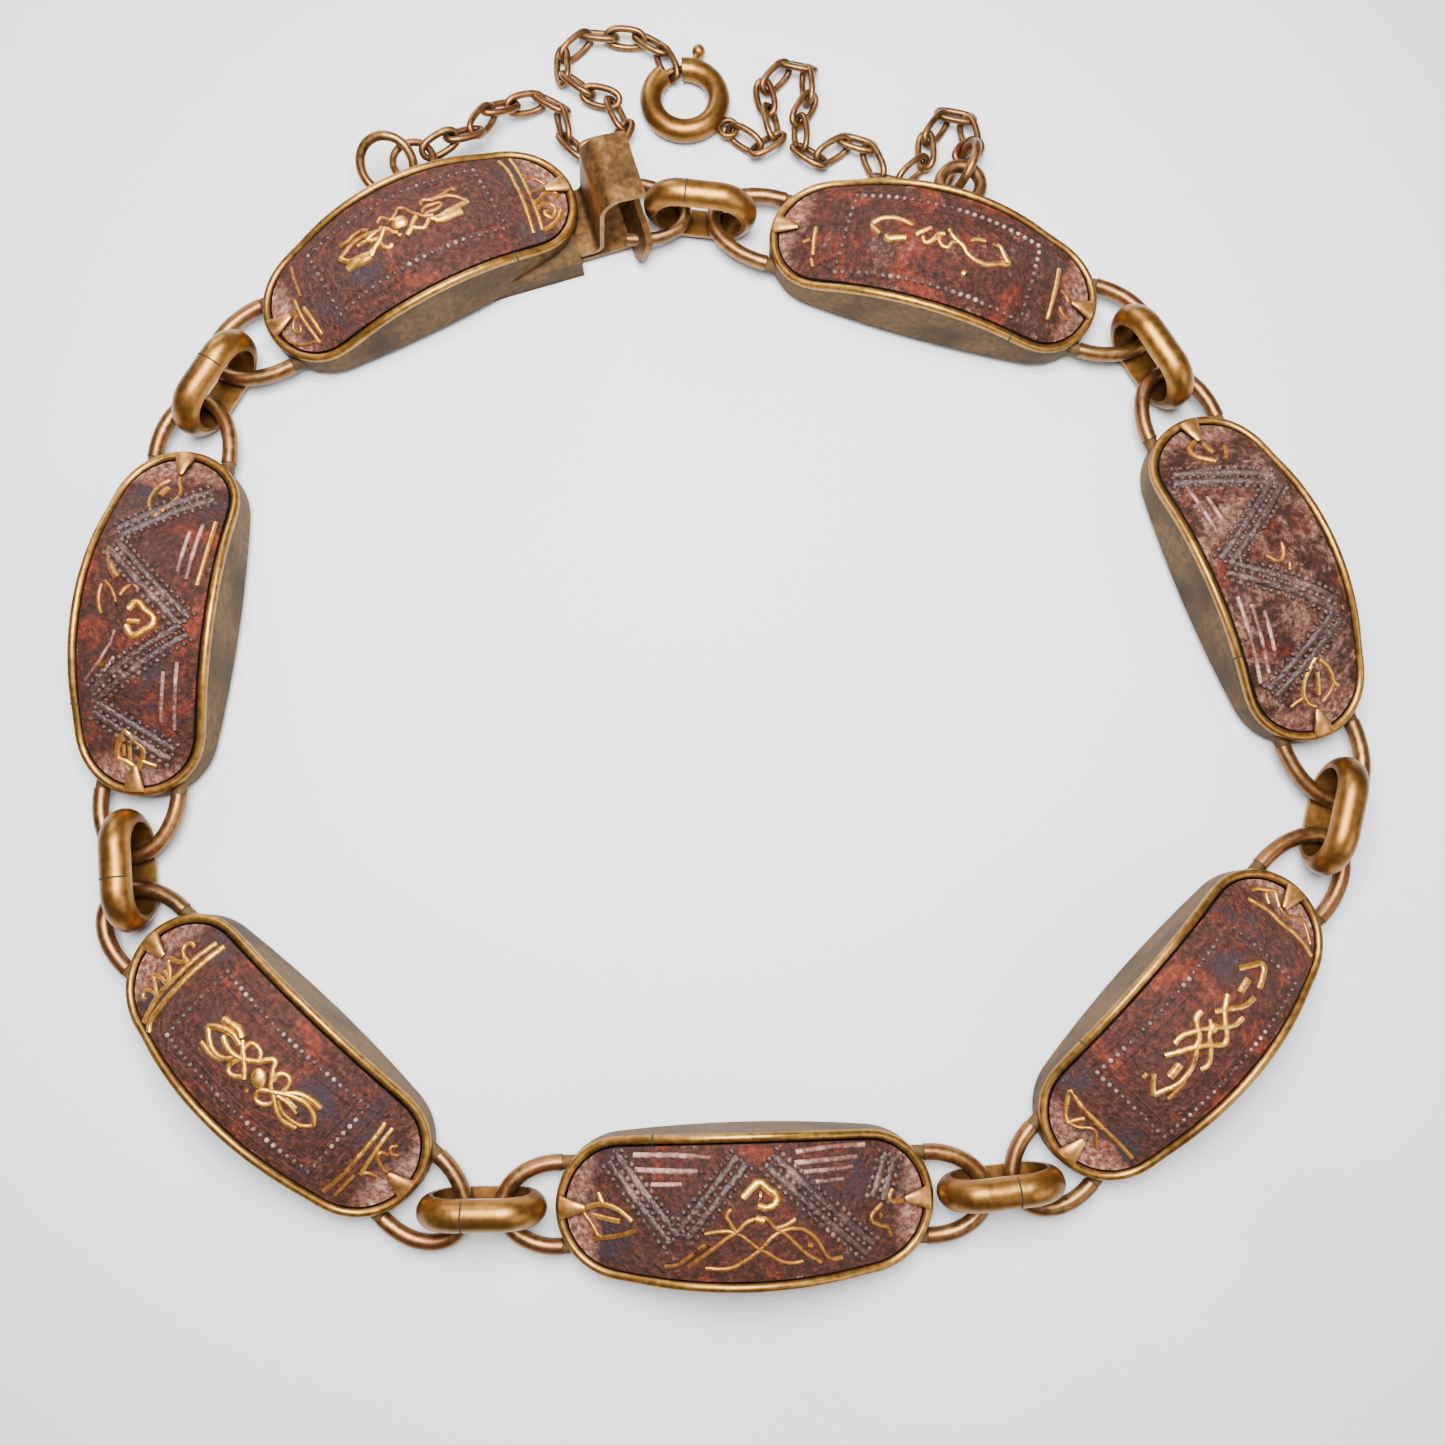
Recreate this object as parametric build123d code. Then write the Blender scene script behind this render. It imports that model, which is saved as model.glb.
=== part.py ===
from build123d import *
import math
import os

# A link bracelet: seven box-set steel plaques joined by half-round connector rings, closed by a
# sprung tongue in a flat box, with a safety chain in two lengths on a bolt ring. It lies face up in
# a closed ring. Lengths are in millimetres, angles in degrees, and Z is up from the surface below.

# Wire and clearances
joint_gap = 0.12
loop_wire = 0.8
first_eye_wire = 0.44
second_eye_wire = 0.8
jump_wire = 0.5
chain_wire = 0.38

# Bezel: an oval box of sheet brass, tallest in its middle
bezel_length = 21.4
bezel_width = 8.3
bezel_end_radius = 3.85
bezel_wall = 0.45
back_plate = 0.35
rim_height = 4.12
rim_end_height = 1.5
rim_crown_share = 0.55

# Claw: a small pointed tab bent from the rim over each end of the plaque
claw_length = 1.0
claw_width = 1.15
claw_thickness = 0.24
claw_tilt = 27

# Plaque: domed steel held inside the bezel
plaque_gap = 0.12
plaque_sink = 0.25
plaque_dome = 1.0

# Connector ring: half-round wire bent to an oval that stands on edge
ring_length = 7.3
ring_height = 4.9
ring_band = 1.75
ring_thickness = 0.9
ring_edge = 0.25

# Wire loop soldered across each bezel end
loop_half_width = 2.3
loop_straight_start = 1.2
loop_reach = 3.5

# Layout of the bracelet on the surface
link_gap = 6.0
link_pitch = bezel_length + link_gap

# Clasp box and its tongue
box_length = 7.4
box_width = 6.0
box_height = 1.6
box_wall = 0.3
box_setback = 1.2
box_side_shift = -2.07
box_turn = -11.5
tongue_width = 4.5
tongue_sheet = 0.28
tongue_play = 0.1
tongue_reach = 3.9
tab_rise_start = 1.5
tab_rise_top = 1.95
tab_top = 6.05
tab_end = 4.7
tab_droop = 0.35
tab_bend = 1.35
stop_width = 6.6
stop_height = 2.3
stop_thickness = 0.45
stop_lean = 20
stop_side_shift = -0.4
tongue_loop_half_width = 1.95
tongue_loop_reach = 3.5
tongue_loop_turn = -22
clasp_ring_along = 8.2
clasp_ring_aside = -2.2
clasp_ring_turn = -24

# Side eyes and jump rings that carry the safety chain
eye_radius = 1.3
eye_stand_off = 1.4
eye_height = 2.35
first_eye_along = 2.5
second_eye_along = 0.2
jump_radius = 1.7

# Bolt ring
tube_radius = 2.25
tube_thickness = 1.5
channel_thickness = 0.8
bolt_thickness = 0.5
gap_start = 95
gap_end = 130
bolt_tip = 138
bolt_tail = 58
bolt_travel = 42
bolt_socket_end = 144
knob_angle = 76
knob_reach = 1.45
knob_radius = 0.45
stem_thickness = 0.5
slot_play = 10
channel_play = 4
fixed_eye_angle = -35
fixed_eye_radius = 0.57
fixed_eye_wire = 0.4

# Chain link
link_length = 2.9
link_width = 1.5
link_end_sides = 6
link_wire_sides = 6
chain_slack = 1.25
right_hook_angle = -25
right_roll = 12

# Bezels in order round the bracelet: centre as shares of link_pitch, and the turn of the long axis.
# The last two columns are how far the wire loops reach, as shares of loop_reach, and 0 is no loop.
BEZELS = {
    "bezel_1": {"x": -0.702, "y": 1.087, "turn": 29.15, "tail": 1.16, "head": 0},
    "bezel_2": {"x": 0.491, "y": 1.066, "turn": -16.22, "tail": 1.15, "head": 1.10},
    "bezel_3": {"x": 1.195, "y": 0.330, "turn": -70.11, "tail": 1.05, "head": 1.18},
    "bezel_4": {"x": 0.976, "y": -0.650, "turn": -133.53, "tail": 1.13, "head": 0.92},
    "bezel_5": {"x": 0.046, "y": -1.012, "turn": -178.56, "tail": 0.94, "head": 0.93},
    "bezel_6": {"x": -0.933, "y": -0.732, "turn": 137.98, "tail": 1.00, "head": 0.97},
    "bezel_7": {"x": -1.240, "y": 0.219, "turn": 85.39, "tail": 1.05, "head": 1.07},
}

# Connector rings: the bezels they join, head first; how far each ring sits outside the line between
# the two bezel ends and along it, as shares of ring_length; and how far it is turned off that line.
CONNECTORS = {
    "connector_2": {"from": "bezel_2", "to": "bezel_3", "out": 0.11, "on": 0.0, "turn": -6.0},
    "connector_3": {"from": "bezel_3", "to": "bezel_4", "out": 0.165, "on": 0.0, "turn": -2.0},
    "connector_4": {"from": "bezel_4", "to": "bezel_5", "out": 0.055, "on": 0.0, "turn": -8.0},
    "connector_5": {"from": "bezel_5", "to": "bezel_6", "out": 0.055, "on": 0.0, "turn": 6.0},
    "connector_6": {"from": "bezel_6", "to": "bezel_7", "out": 0.08, "on": -0.03, "turn": -2.0},
    "connector_7": {"from": "bezel_7", "to": "bezel_1", "out": 0.115, "on": 0.0, "turn": 0.0},
}

# The wires of the end loops clear the lower band of the connector rings, which stand on the surface
loop_height = ring_thickness + joint_gap + loop_wire / 2
bezel_base = loop_height - rim_end_height / 2
half_length = bezel_length / 2
half_width = bezel_width / 2


def oval(inset):
    """The bezel's plan, made of four tangent arcs, drawn in by an inset."""
    a = half_length - inset
    b = half_width - inset
    end_r = bezel_end_radius - inset
    end_x = a - end_r
    side_r = (end_x ** 2 + b ** 2 - end_r ** 2) / (2 * (b - end_r))
    side_y = b - side_r
    reach = side_r / math.hypot(end_x, side_y)
    tx = end_x * reach
    ty = side_y + (0 - side_y) * reach
    side = ThreePointArc((-tx, ty), (0, b), (tx, ty))
    end = ThreePointArc((tx, ty), (a, 0), (tx, -ty))
    back = ThreePointArc((tx, -ty), (0, -b), (-tx, -ty))
    tail = ThreePointArc((-tx, -ty), (-a, 0), (-tx, ty))
    return make_face([side, end, back, tail])


def rim_line(lift):
    """Three tangent arcs of the arched rim, seen from the side, from one end to the other."""
    drop = rim_height - rim_end_height
    slope = 2 * math.atan2(drop, half_length)
    crown_x = rim_crown_share * half_length
    crown_r = crown_x / math.sin(slope)
    foot_r = (half_length - crown_x) / math.sin(slope)
    top = bezel_base + rim_height + lift
    low = bezel_base + rim_end_height + lift
    knee_z = top - crown_r * (1 - math.cos(slope))
    half = slope / 2
    foot_x = half_length - foot_r * math.sin(half)
    foot_z = low + foot_r * (1 - math.cos(half))
    crown = ThreePointArc((-crown_x, 0, knee_z), (0, 0, top), (crown_x, 0, knee_z))
    head = ThreePointArc((crown_x, 0, knee_z), (foot_x, 0, foot_z), (half_length, 0, low))
    tail = ThreePointArc((-half_length, 0, low), (-foot_x, 0, foot_z), (-crown_x, 0, knee_z))
    return [tail, crown, head]


def rim_level(x):
    """Height of the rim above the surface at a place along the bezel."""
    drop = rim_height - rim_end_height
    slope = 2 * math.atan2(drop, half_length)
    crown_x = rim_crown_share * half_length
    crown_r = crown_x / math.sin(slope)
    foot_r = (half_length - crown_x) / math.sin(slope)
    x = min(abs(x), half_length)
    if x < crown_x:
        fall = crown_r - math.sqrt(crown_r ** 2 - x ** 2)
    else:
        fall = drop - foot_r + math.sqrt(foot_r ** 2 - (half_length - x) ** 2)
    return bezel_base + rim_height - fall


def under_rim():
    """Everything below the arched rim, as wide as the bezel."""
    low = bezel_base + rim_end_height
    edges = rim_line(0)
    edges.append(Line((half_length, 0, low), (half_length, 0, bezel_base)))
    edges.append(Line((half_length, 0, bezel_base), (-half_length, 0, bezel_base)))
    edges.append(Line((-half_length, 0, bezel_base), (-half_length, 0, low)))
    return extrude(make_face(edges), amount=half_width, both=True, dir=(0, 1, 0))


def wire_along(path, thickness):
    """Round wire along a path."""
    return sweep(Plane(origin=path @ 0, z_dir=path % 0) * Circle(thickness / 2), path=path)


def end_loop(start_x, bow_x, reach, half, thickness):
    """A D-shaped wire loop in a level plane, with its legs at start_x and its bow at bow_x + reach."""
    left = Line((start_x, half, 0), (bow_x, half, 0))
    bow = EllipticalCenterArc((bow_x, 0, 0), reach, half, start_angle=90, arc_size=-180)
    right = Line((bow_x, -half, 0), (start_x, -half, 0))
    return wire_along(Wire([left, bow, right]), thickness)


def bezel_loop(share):
    """The loop at the head end of a bezel."""
    start_x = half_length - loop_straight_start
    bow_x = half_length - loop_wire / 8
    loop = end_loop(start_x, bow_x, share * loop_reach, loop_half_width, loop_wire)
    return Pos(0, 0, loop_height) * loop


def claw():
    """The pointed tab over the head end of the plaque."""
    root = half_length - bezel_wall / 2
    plan = Polyline((0, claw_width / 2), (-claw_length, 0), (0, -claw_width / 2), close=True)
    tab = extrude(make_face(plan), amount=claw_thickness)
    height = bezel_base + rim_end_height - claw_thickness / 2
    return Pos(root, 0, height) * Rot(0, claw_tilt, 0) * tab


def side_eye(along, wire):
    """A wire eye lying level, soldered to the outer long side."""
    ring = Torus(eye_radius, wire / 2)
    return Pos(along, half_width + eye_stand_off, bezel_base + eye_height) * ring


def box_place():
    """The clasp box's mouth in the first bezel's own frame."""
    return Pos(half_length - box_setback, box_side_shift, 0) * Rot(0, 0, box_turn)


def clasp_box(grow):
    """The outside of the clasp box, its mouth at x = 0, enlarged on all sides by grow."""
    length = box_length + 2 * grow
    outside = Box(length, box_width + 2 * grow, box_height + 2 * grow)
    return box_place() * Pos(-box_length / 2, 0, box_height / 2) * outside


def clasp_box_inside():
    """The hollow of the clasp box, open at its mouth and on through the bezel's end."""
    depth = box_length - box_wall
    passage = 2 * box_setback
    inside = Box(depth + passage, box_width - 2 * box_wall, box_height - 2 * box_wall)
    return box_place() * Pos((passage - depth) / 2, 0, box_height / 2) * inside


def make_bezel(name, row):
    """One bezel as a single soldered solid, in its own frame."""
    body = extrude(Pos(0, 0, bezel_base) * oval(0), amount=rim_height) & under_rim()
    for side, share in ((0, row["head"]), (180, row["tail"])):
        if share:
            body += Rot(0, 0, side) * bezel_loop(share)
    if name == "bezel_1":
        body += side_eye(first_eye_along, first_eye_wire)
    if name == "bezel_2":
        body += side_eye(second_eye_along, second_eye_wire)
    floor = bezel_base + back_plate
    body -= extrude(Pos(0, 0, floor) * oval(bezel_wall), amount=rim_height)
    body += claw()
    body += Rot(0, 0, 180) * claw()
    if name == "bezel_1":
        body += clasp_box(0)
        body -= clasp_box_inside()
    return body


def plaque_section(x, rise):
    """Outline of the plaque across its width: flat below, an arc above."""
    edge = rim_level(x) - plaque_sink
    floor = bezel_base + back_plate + joint_gap
    arc = ThreePointArc((x, half_width, edge), (x, 0, edge + rise), (x, -half_width, edge))
    base = Polyline((x, -half_width, edge), (x, -half_width, floor), (x, half_width, floor), (x, half_width, edge))
    return make_face([arc, base])


# Domed sections of the plaque: place as a share of the half length, rise as a share of the dome
PLAQUE_SECTIONS = [
    {"along": -1.0, "rise": 0.04},
    {"along": -0.9, "rise": 0.26},
    {"along": -0.72, "rise": 0.8},
    {"along": -0.4, "rise": 1.0},
    {"along": 0.0, "rise": 1.0},
    {"along": 0.4, "rise": 1.0},
    {"along": 0.72, "rise": 0.8},
    {"along": 0.9, "rise": 0.26},
    {"along": 1.0, "rise": 0.04},
]


def make_plaque(name):
    """The domed plaque that fills a bezel, in that bezel's own frame."""
    sections = [plaque_section(row["along"] * half_length, row["rise"] * plaque_dome) for row in PLAQUE_SECTIONS]
    body = loft(sections)
    inset = bezel_wall + plaque_gap
    body &= extrude(Pos(0, 0, bezel_base) * oval(inset), amount=2 * rim_height)
    if name == "bezel_1":
        body -= clasp_box(plaque_gap)
        tongue_room = Box(2 * box_setback, box_width, 2 * (box_height + plaque_gap))
        body -= box_place() * Pos(box_setback, 0, 0) * tongue_room
    return body


def half_round():
    """Section of the connector wire: flat inside, crowned outside, on the ring's lower band."""
    w = ring_band / 2
    flat = Line((0, w, 0), (0, -w, 0))
    low = Line((0, -w, 0), (0, -w, -ring_edge))
    crown = ThreePointArc((0, -w, -ring_edge), (0, 0, -ring_thickness), (0, w, -ring_edge))
    high = Line((0, w, -ring_edge), (0, w, 0))
    return make_face([flat, low, crown, high])


def make_connector():
    """An oval ring standing on the surface, with its length along X."""
    inner_r = ring_height / 2 - ring_thickness
    run = ring_length - ring_height
    band = Pos(-run / 2, 0, -inner_r) * half_round()
    lower = extrude(band, amount=run, dir=(1, 0, 0))
    axis = Axis((run / 2, 0, 0), (0, -1, 0))
    bend = revolve(Pos(run / 2, 0, -inner_r) * half_round(), axis, 180)
    half = lower + bend
    ring = half + Rot(0, 180, 0) * half
    return Pos(0, 0, ring_height / 2) * ring


def bezel_place(name):
    """Where a bezel lies."""
    row = BEZELS[name]
    return Pos(row["x"] * link_pitch, row["y"] * link_pitch, 0) * Rot(0, 0, row["turn"])


def bezel_end(name, side):
    """The middle of a bezel's head (side 1) or tail (side -1) end."""
    return (bezel_place(name) * Pos(side * half_length, 0, 0)).position


def connector_place(row):
    """Half way between the two bezel ends that a connector joins."""
    start = bezel_end(row["from"], 1)
    end = bezel_end(row["to"], -1)
    line = end - start
    out = Vector(-line.Y, line.X, 0).normalized() * (row["out"] * ring_length)
    middle = (start + end) / 2 + line.normalized() * (row["on"] * ring_length) + out
    angle = math.degrees(math.atan2(line.Y, line.X)) + row["turn"]
    return Pos(middle.X, middle.Y, 0) * Rot(0, 0, angle)


def clasp_ring_place():
    """Where the ring between the tongue and the second bezel stands."""
    return tongue_place() * Pos(clasp_ring_along, clasp_ring_aside, 0) * Rot(0, 0, clasp_ring_turn)


def strip(points, radii, width, thickness):
    """A strip of sheet bent along a line of points in the XZ plane."""
    path = FilletPolyline(*[(x, 0, z) for x, z in points], radius=radii)
    section = Plane(origin=path @ 0, x_dir=(0, 1, 0), z_dir=path % 0) * Rectangle(width, thickness)
    return sweep(section, path=path, transition=Transition.ROUND)


def make_tongue():
    """The folded tongue with its thumb tab, stop plate and wire loop, in the clasp box's frame."""
    low = box_wall + tongue_play + tongue_sheet / 2
    high = box_height - box_wall - tongue_play - tongue_sheet / 2
    back = -(box_length - box_wall - 2 * tongue_play - tongue_sheet)
    fold = (high - low) / 2 * 0.98
    points = [
        (tongue_reach, low),
        (back, low),
        (back, high),
        (tab_rise_start, high),
        (tab_rise_top, tab_top),
        (tab_end, tab_top - tab_droop),
    ]
    body = strip(points, [fold, fold, tongue_sheet * 2, tab_bend], tongue_width, tongue_sheet)
    plate = Box(stop_thickness, stop_width, stop_height)
    plate = fillet(plate.edges().filter_by(Axis.X), stop_height / 3)
    plate = Pos(0, 0, stop_height / 2) * plate
    foot = tongue_reach - stop_thickness / 2
    body += Pos(foot, stop_side_shift, low) * Rot(0, stop_lean, 0) * plate
    loop = end_loop(0, joint_gap, tongue_loop_reach, tongue_loop_half_width, loop_wire)
    lean = math.tan(math.radians(stop_lean)) * (loop_height - low)
    body += Pos(foot + lean, stop_side_shift, loop_height) * Rot(0, 0, tongue_loop_turn) * loop
    return body


def tongue_place():
    """The tongue lies in the first bezel's clasp box."""
    return bezel_place("bezel_1") * box_place()


def tube_point(angle, radius):
    """A point of the bolt ring, from its centre."""
    return (radius * math.cos(math.radians(angle)), radius * math.sin(math.radians(angle)), 0)


def tube_arc(start, end, thickness):
    """A piece of round wire or tube along the bolt ring."""
    middle = (start + end) / 2
    path = ThreePointArc(tube_point(start, tube_radius), tube_point(middle, tube_radius), tube_point(end, tube_radius))
    return wire_along(path, thickness)


def make_spring_ring():
    """The bolt ring's tube with its gap, bore, slot and fixed eye, centred on the origin."""
    body = tube_arc(gap_end, gap_start + 360, tube_thickness)
    body -= tube_arc(bolt_tail - bolt_travel - channel_play, gap_start + channel_play, channel_thickness)
    body -= tube_arc(gap_end - channel_play, bolt_socket_end, channel_thickness)
    slot_width = stem_thickness + 2 * joint_gap
    slot_start = knob_angle - bolt_travel - slot_play
    slot_end = knob_angle + slot_play
    outer = tube_radius + tube_thickness
    sector = [(0, 0, 0)]
    for angle in (slot_start, (slot_start + slot_end) / 2, slot_end):
        sector.append(tube_point(angle, 1.3 * outer))
    wedge = extrude(make_face(Polyline(*sector, close=True)), amount=slot_width / 2, both=True)
    body -= wedge - Cylinder(tube_radius, tube_thickness)
    eye_x, eye_y, eye_z = tube_point(fixed_eye_angle, fixed_eye_centre())
    body += Pos(eye_x, eye_y, eye_z) * Torus(fixed_eye_radius, fixed_eye_wire / 2)
    return body


def fixed_eye_centre():
    """Distance of the fixed eye's hole from the middle of the bolt ring."""
    return tube_radius + tube_thickness / 2 + fixed_eye_radius - fixed_eye_wire / 8


def make_bolt():
    """The curved bolt with its stem and knob, in the closed position."""
    body = tube_arc(bolt_tail, bolt_tip, bolt_thickness)
    stem = Rot(0, 0, knob_angle) * Pos(tube_radius, 0, 0) * Rot(0, 90, 0) * Cylinder(
        stem_thickness / 2, knob_reach, align=(Align.CENTER, Align.CENTER, Align.MIN))
    body += stem
    x, y, z = tube_point(knob_angle, tube_radius + knob_reach)
    body += Pos(x, y, z) * Sphere(knob_radius)
    return body


# The middle of the bolt ring on the surface, as shares of link_pitch
BOLT_RING = (-0.09124, 1.5292)

# How each jump ring lies: the heading it reaches out to, its lean from upright, and how far below
# the eye its middle is turned.
LEFT_JUMP = {"heading": 178, "lean": 50, "enter": 10}
RIGHT_JUMP = {"heading": 72, "lean": 18, "enter": 25}


def eye_centre(name, along):
    """The middle of a side eye where the bracelet lies."""
    place = bezel_place(name) * Pos(along, half_width + eye_stand_off, bezel_base + eye_height)
    return place.position


def jump_plane(eye, row):
    """The plane of a jump ring that passes through an eye's hole."""
    heading = math.radians(row["heading"])
    lean = math.radians(row["lean"])
    enter = math.radians(row["enter"])
    out = Vector(math.cos(heading), math.sin(heading), 0)
    side = out.cross(Vector(0, 0, 1))
    rise = Vector(0, 0, math.cos(lean)) + side * math.sin(lean)
    middle = eye + out * (jump_radius * math.cos(enter)) - rise * (jump_radius * math.sin(enter))
    return Plane(origin=middle, x_dir=out, z_dir=out.cross(rise))


def jump_point(plane, angle):
    """A point of a jump ring's centre line, 0 being its far end from the eye."""
    turn = math.radians(angle)
    return plane.origin + plane.x_dir * (jump_radius * math.cos(turn)) + plane.y_dir * (jump_radius * math.sin(turn))


def link_outline():
    """Corners of a link's centre line: two faceted ends joined by straight sides."""
    straight = (link_length - link_width) / 2
    bend = (link_width - chain_wire) / 2
    corners = []
    for side in (1, -1):
        for step in range(link_end_sides + 1):
            angle = math.radians(180 * step / link_end_sides - 90)
            corners.append((side * (straight + bend * math.cos(angle)), side * bend * math.sin(angle)))
    return corners


def make_link():
    """One faceted chain link in the XY plane, its length along X."""
    corners = link_outline()
    count = len(corners)
    rings = []
    for index, (x, y) in enumerate(corners):
        before = corners[index - 1]
        after = corners[(index + 1) % count]
        into = Vector(y - before[1], before[0] - x, 0).normalized()
        away = Vector(after[1] - y, x - after[0], 0).normalized()
        mitre = (into + away).normalized()
        stretch = 1 / mitre.dot(into)
        ring = []
        for step in range(link_wire_sides):
            angle = 2 * math.pi * step / link_wire_sides
            out = mitre * (stretch * chain_wire / 2 * math.cos(angle))
            ring.append(Vector(x, y, chain_wire / 2 * math.sin(angle)) + out)
        rings.append(ring)
    faces = []
    for index in range(count):
        here = rings[index]
        there = rings[(index + 1) % count]
        for step in range(link_wire_sides):
            following = (step + 1) % link_wire_sides
            quad = [here[step], there[step], there[following], here[following]]
            faces.append(Face(Wire.make_polygon(quad, close=True)))
    return Solid(Shell(faces))


def chain_line(start, rises, headings, slack, turn):
    """Joints from a start: upright links run from tip to tip, level ones between their neighbours' tips."""
    joints = [start]
    for index, heading in enumerate(headings):
        step = slack if index % 2 else link_length - chain_wire
        rise = rises[index]
        level = math.sqrt(step ** 2 - rise ** 2)
        angle = math.radians(heading + turn)
        joints.append(joints[-1] + Vector(level * math.cos(angle), level * math.sin(angle), rise))
    return joints


def chain_joints(start, end, rises, headings):
    """Joints of a chain that meets both its ends, by sharing slack among its links and turning it a little."""
    slack = chain_slack
    turn = 0.0
    for _ in range(20):
        miss = end - chain_line(start, rises, headings, slack, turn)[-1]
        by_slack = chain_line(start, rises, headings, slack + 0.01, turn)[-1] - end + miss
        by_turn = chain_line(start, rises, headings, slack, turn + 0.1)[-1] - end + miss
        scale = by_slack.X * by_turn.Y - by_slack.Y * by_turn.X
        slack += 0.01 * (miss.X * by_turn.Y - miss.Y * by_turn.X) / scale
        turn += 0.1 * (by_slack.X * miss.Y - by_slack.Y * miss.X) / scale
    print("chain of", len(headings), "slack", round(slack, 3), "turn", round(turn, 2))
    return chain_line(start, rises, headings, slack, turn)


def level_turn(vector):
    """The heading of a vector on the surface."""
    return math.atan2(vector.Y, vector.X)


def slope(vector):
    """How steeply a vector rises."""
    return math.atan2(vector.Z, math.hypot(vector.X, vector.Y))


def aimed(heading, rise):
    """A unit vector with a heading and a slope."""
    level = math.cos(rise)
    return Vector(level * math.cos(heading), level * math.sin(heading), math.sin(rise))


def link_ends(joints, index):
    """The tips of one link: upright links end at their joints, level links reach past theirs."""
    start = joints[index]
    end = joints[index + 1]
    if index % 2 == 0:
        return start, end
    overlap = (link_length - chain_wire - (end - start).length) / 2
    heading = level_turn(end - start)
    before = slope(start - joints[index - 1])
    after = before
    if index + 2 < len(joints):
        after = slope(joints[index + 2] - end)
    return start - aimed(heading, before) * overlap, end + aimed(heading, after) * overlap


def make_chain(joints, last_roll):
    """Interlocking links between joints, upright and level by turns; the last one is rolled a little."""
    link = make_link()
    links = []
    total = len(joints) - 1
    for index in range(total):
        start, end = link_ends(joints, index)
        along = (end - start).normalized()
        side = along.cross(Vector(0, 0, 1)).normalized()
        up = side.cross(along)
        roll = math.radians(90 * ((index + 1) % 2))
        if index == total - 1:
            roll += math.radians(last_roll)
        normal = up * math.cos(roll) + side * math.sin(roll)
        place = Plane(origin=(start + end) / 2, x_dir=along, z_dir=normal)
        links.append(place.location * link)
    return links


# Chain routes on the surface: the heading of each link in turn, from the first bezel's eye to the
# bolt, and from the bolt ring's fixed eye to the right jump ring.
chain_height = link_width / 2
LEFT_HEADINGS = [38, 31, 65, 33, 25, -24, -72, -41, 17, 68, 118, 169, 146, 97, 47, -2, -2, -28, -60]
RIGHT_HEADINGS = [-36, 34, 100, 103, 47, -13, -87, -122, -88, -34, 33, -18, -68, -14, 41, 91, 53, -15, -80, -140]

# How many links it takes to come down from the eye, and to climb to the right jump ring
left_fall_links = 5
right_climb_links = 2


def left_chain_joints():
    """From inside the first bezel's eye, down to the surface and round the bolt in the ring's gap."""
    eye = eye_centre("bezel_1", first_eye_along)
    inner = eye_radius - (first_eye_wire + chain_wire) / 2 - joint_gap
    start = eye + aimed(math.radians(LEFT_HEADINGS[0]), 0) * inner
    middle = Vector(BOLT_RING[0] * link_pitch, BOLT_RING[1] * link_pitch, chain_height)
    inner = tube_radius - (bolt_thickness + chain_wire) / 2 - joint_gap
    end = middle + aimed(math.radians((gap_start + gap_end) / 2), 0) * inner
    rises = [0.0] * len(LEFT_HEADINGS)
    for index in range(1, left_fall_links):
        rises[index] = (chain_height - start.Z) / (left_fall_links - 1)
    return chain_joints(start, end, rises, LEFT_HEADINGS)


def right_chain_joints(hook):
    """From the bolt ring's fixed eye, through the heap and up to the right jump ring."""
    middle = Vector(BOLT_RING[0] * link_pitch, BOLT_RING[1] * link_pitch, chain_height)
    inner = fixed_eye_centre() + fixed_eye_radius - (fixed_eye_wire + chain_wire) / 2 - joint_gap
    start = middle + aimed(math.radians(fixed_eye_angle), 0) * inner
    rises = [0.0] * len(RIGHT_HEADINGS)
    for index in range(right_climb_links):
        rises[-1 - index] = (hook.Z - chain_height) / right_climb_links
    return chain_joints(start, hook, rises, RIGHT_HEADINGS)


def make_parts():
    """Every node of the bracelet with its solids, placed as the bracelet lies."""
    parts = {}
    for name, row in BEZELS.items():
        place = bezel_place(name)
        parts[name] = [place * make_bezel(name, row)]
        plaque = name.replace("bezel", "plaque")
        parts[plaque] = [place * make_plaque(name)]
    ring = make_connector()
    for name, row in CONNECTORS.items():
        parts[name] = [connector_place(row) * ring]
    parts["clasp_tongue"] = [tongue_place() * make_tongue()]
    parts["connector_1"] = [clasp_ring_place() * ring]
    left_plane = jump_plane(eye_centre("bezel_1", first_eye_along), LEFT_JUMP)
    right_plane = jump_plane(eye_centre("bezel_2", second_eye_along), RIGHT_JUMP)
    jump = Torus(jump_radius, jump_wire / 2)
    parts["jump_ring_left"] = [left_plane.location * jump]
    parts["jump_ring_right"] = [right_plane.location * jump]
    bolt_place = Pos(BOLT_RING[0] * link_pitch, BOLT_RING[1] * link_pitch, tube_thickness / 2)
    parts["spring_ring"] = [bolt_place * make_spring_ring()]
    parts["ring_bolt"] = [bolt_place * make_bolt()]
    parts["chain_left"] = make_chain(left_chain_joints(), 0)
    hook = jump_point(right_plane, right_hook_angle)
    parts["chain_right"] = make_chain(right_chain_joints(hook), right_roll)
    return parts


def save(parts):
    """Sets the bracelet down with the middle of its outline at the origin, and saves each node."""
    everything = Compound(children=[Compound(solids) for solids in parts.values()])
    bounds = everything.bounding_box()
    middle = (bounds.min + bounds.max) / 2
    shift = Pos(-middle.X, -middle.Y, -bounds.min.Z)
    print("shift", [round(v, 4) for v in (-middle.X, -middle.Y, -bounds.min.Z)])
    print("size", [round(v, 3) for v in (bounds.size.X, bounds.size.Y, bounds.size.Z)])
    os.makedirs("parts", exist_ok=True)
    for name, solids in parts.items():
        placed = [shift * solid for solid in solids]
        shape = placed[0] if len(placed) == 1 else Compound(children=placed)
        shape.label = name
        export_step(shape, "parts/" + name + ".step")


save(make_parts())
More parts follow.
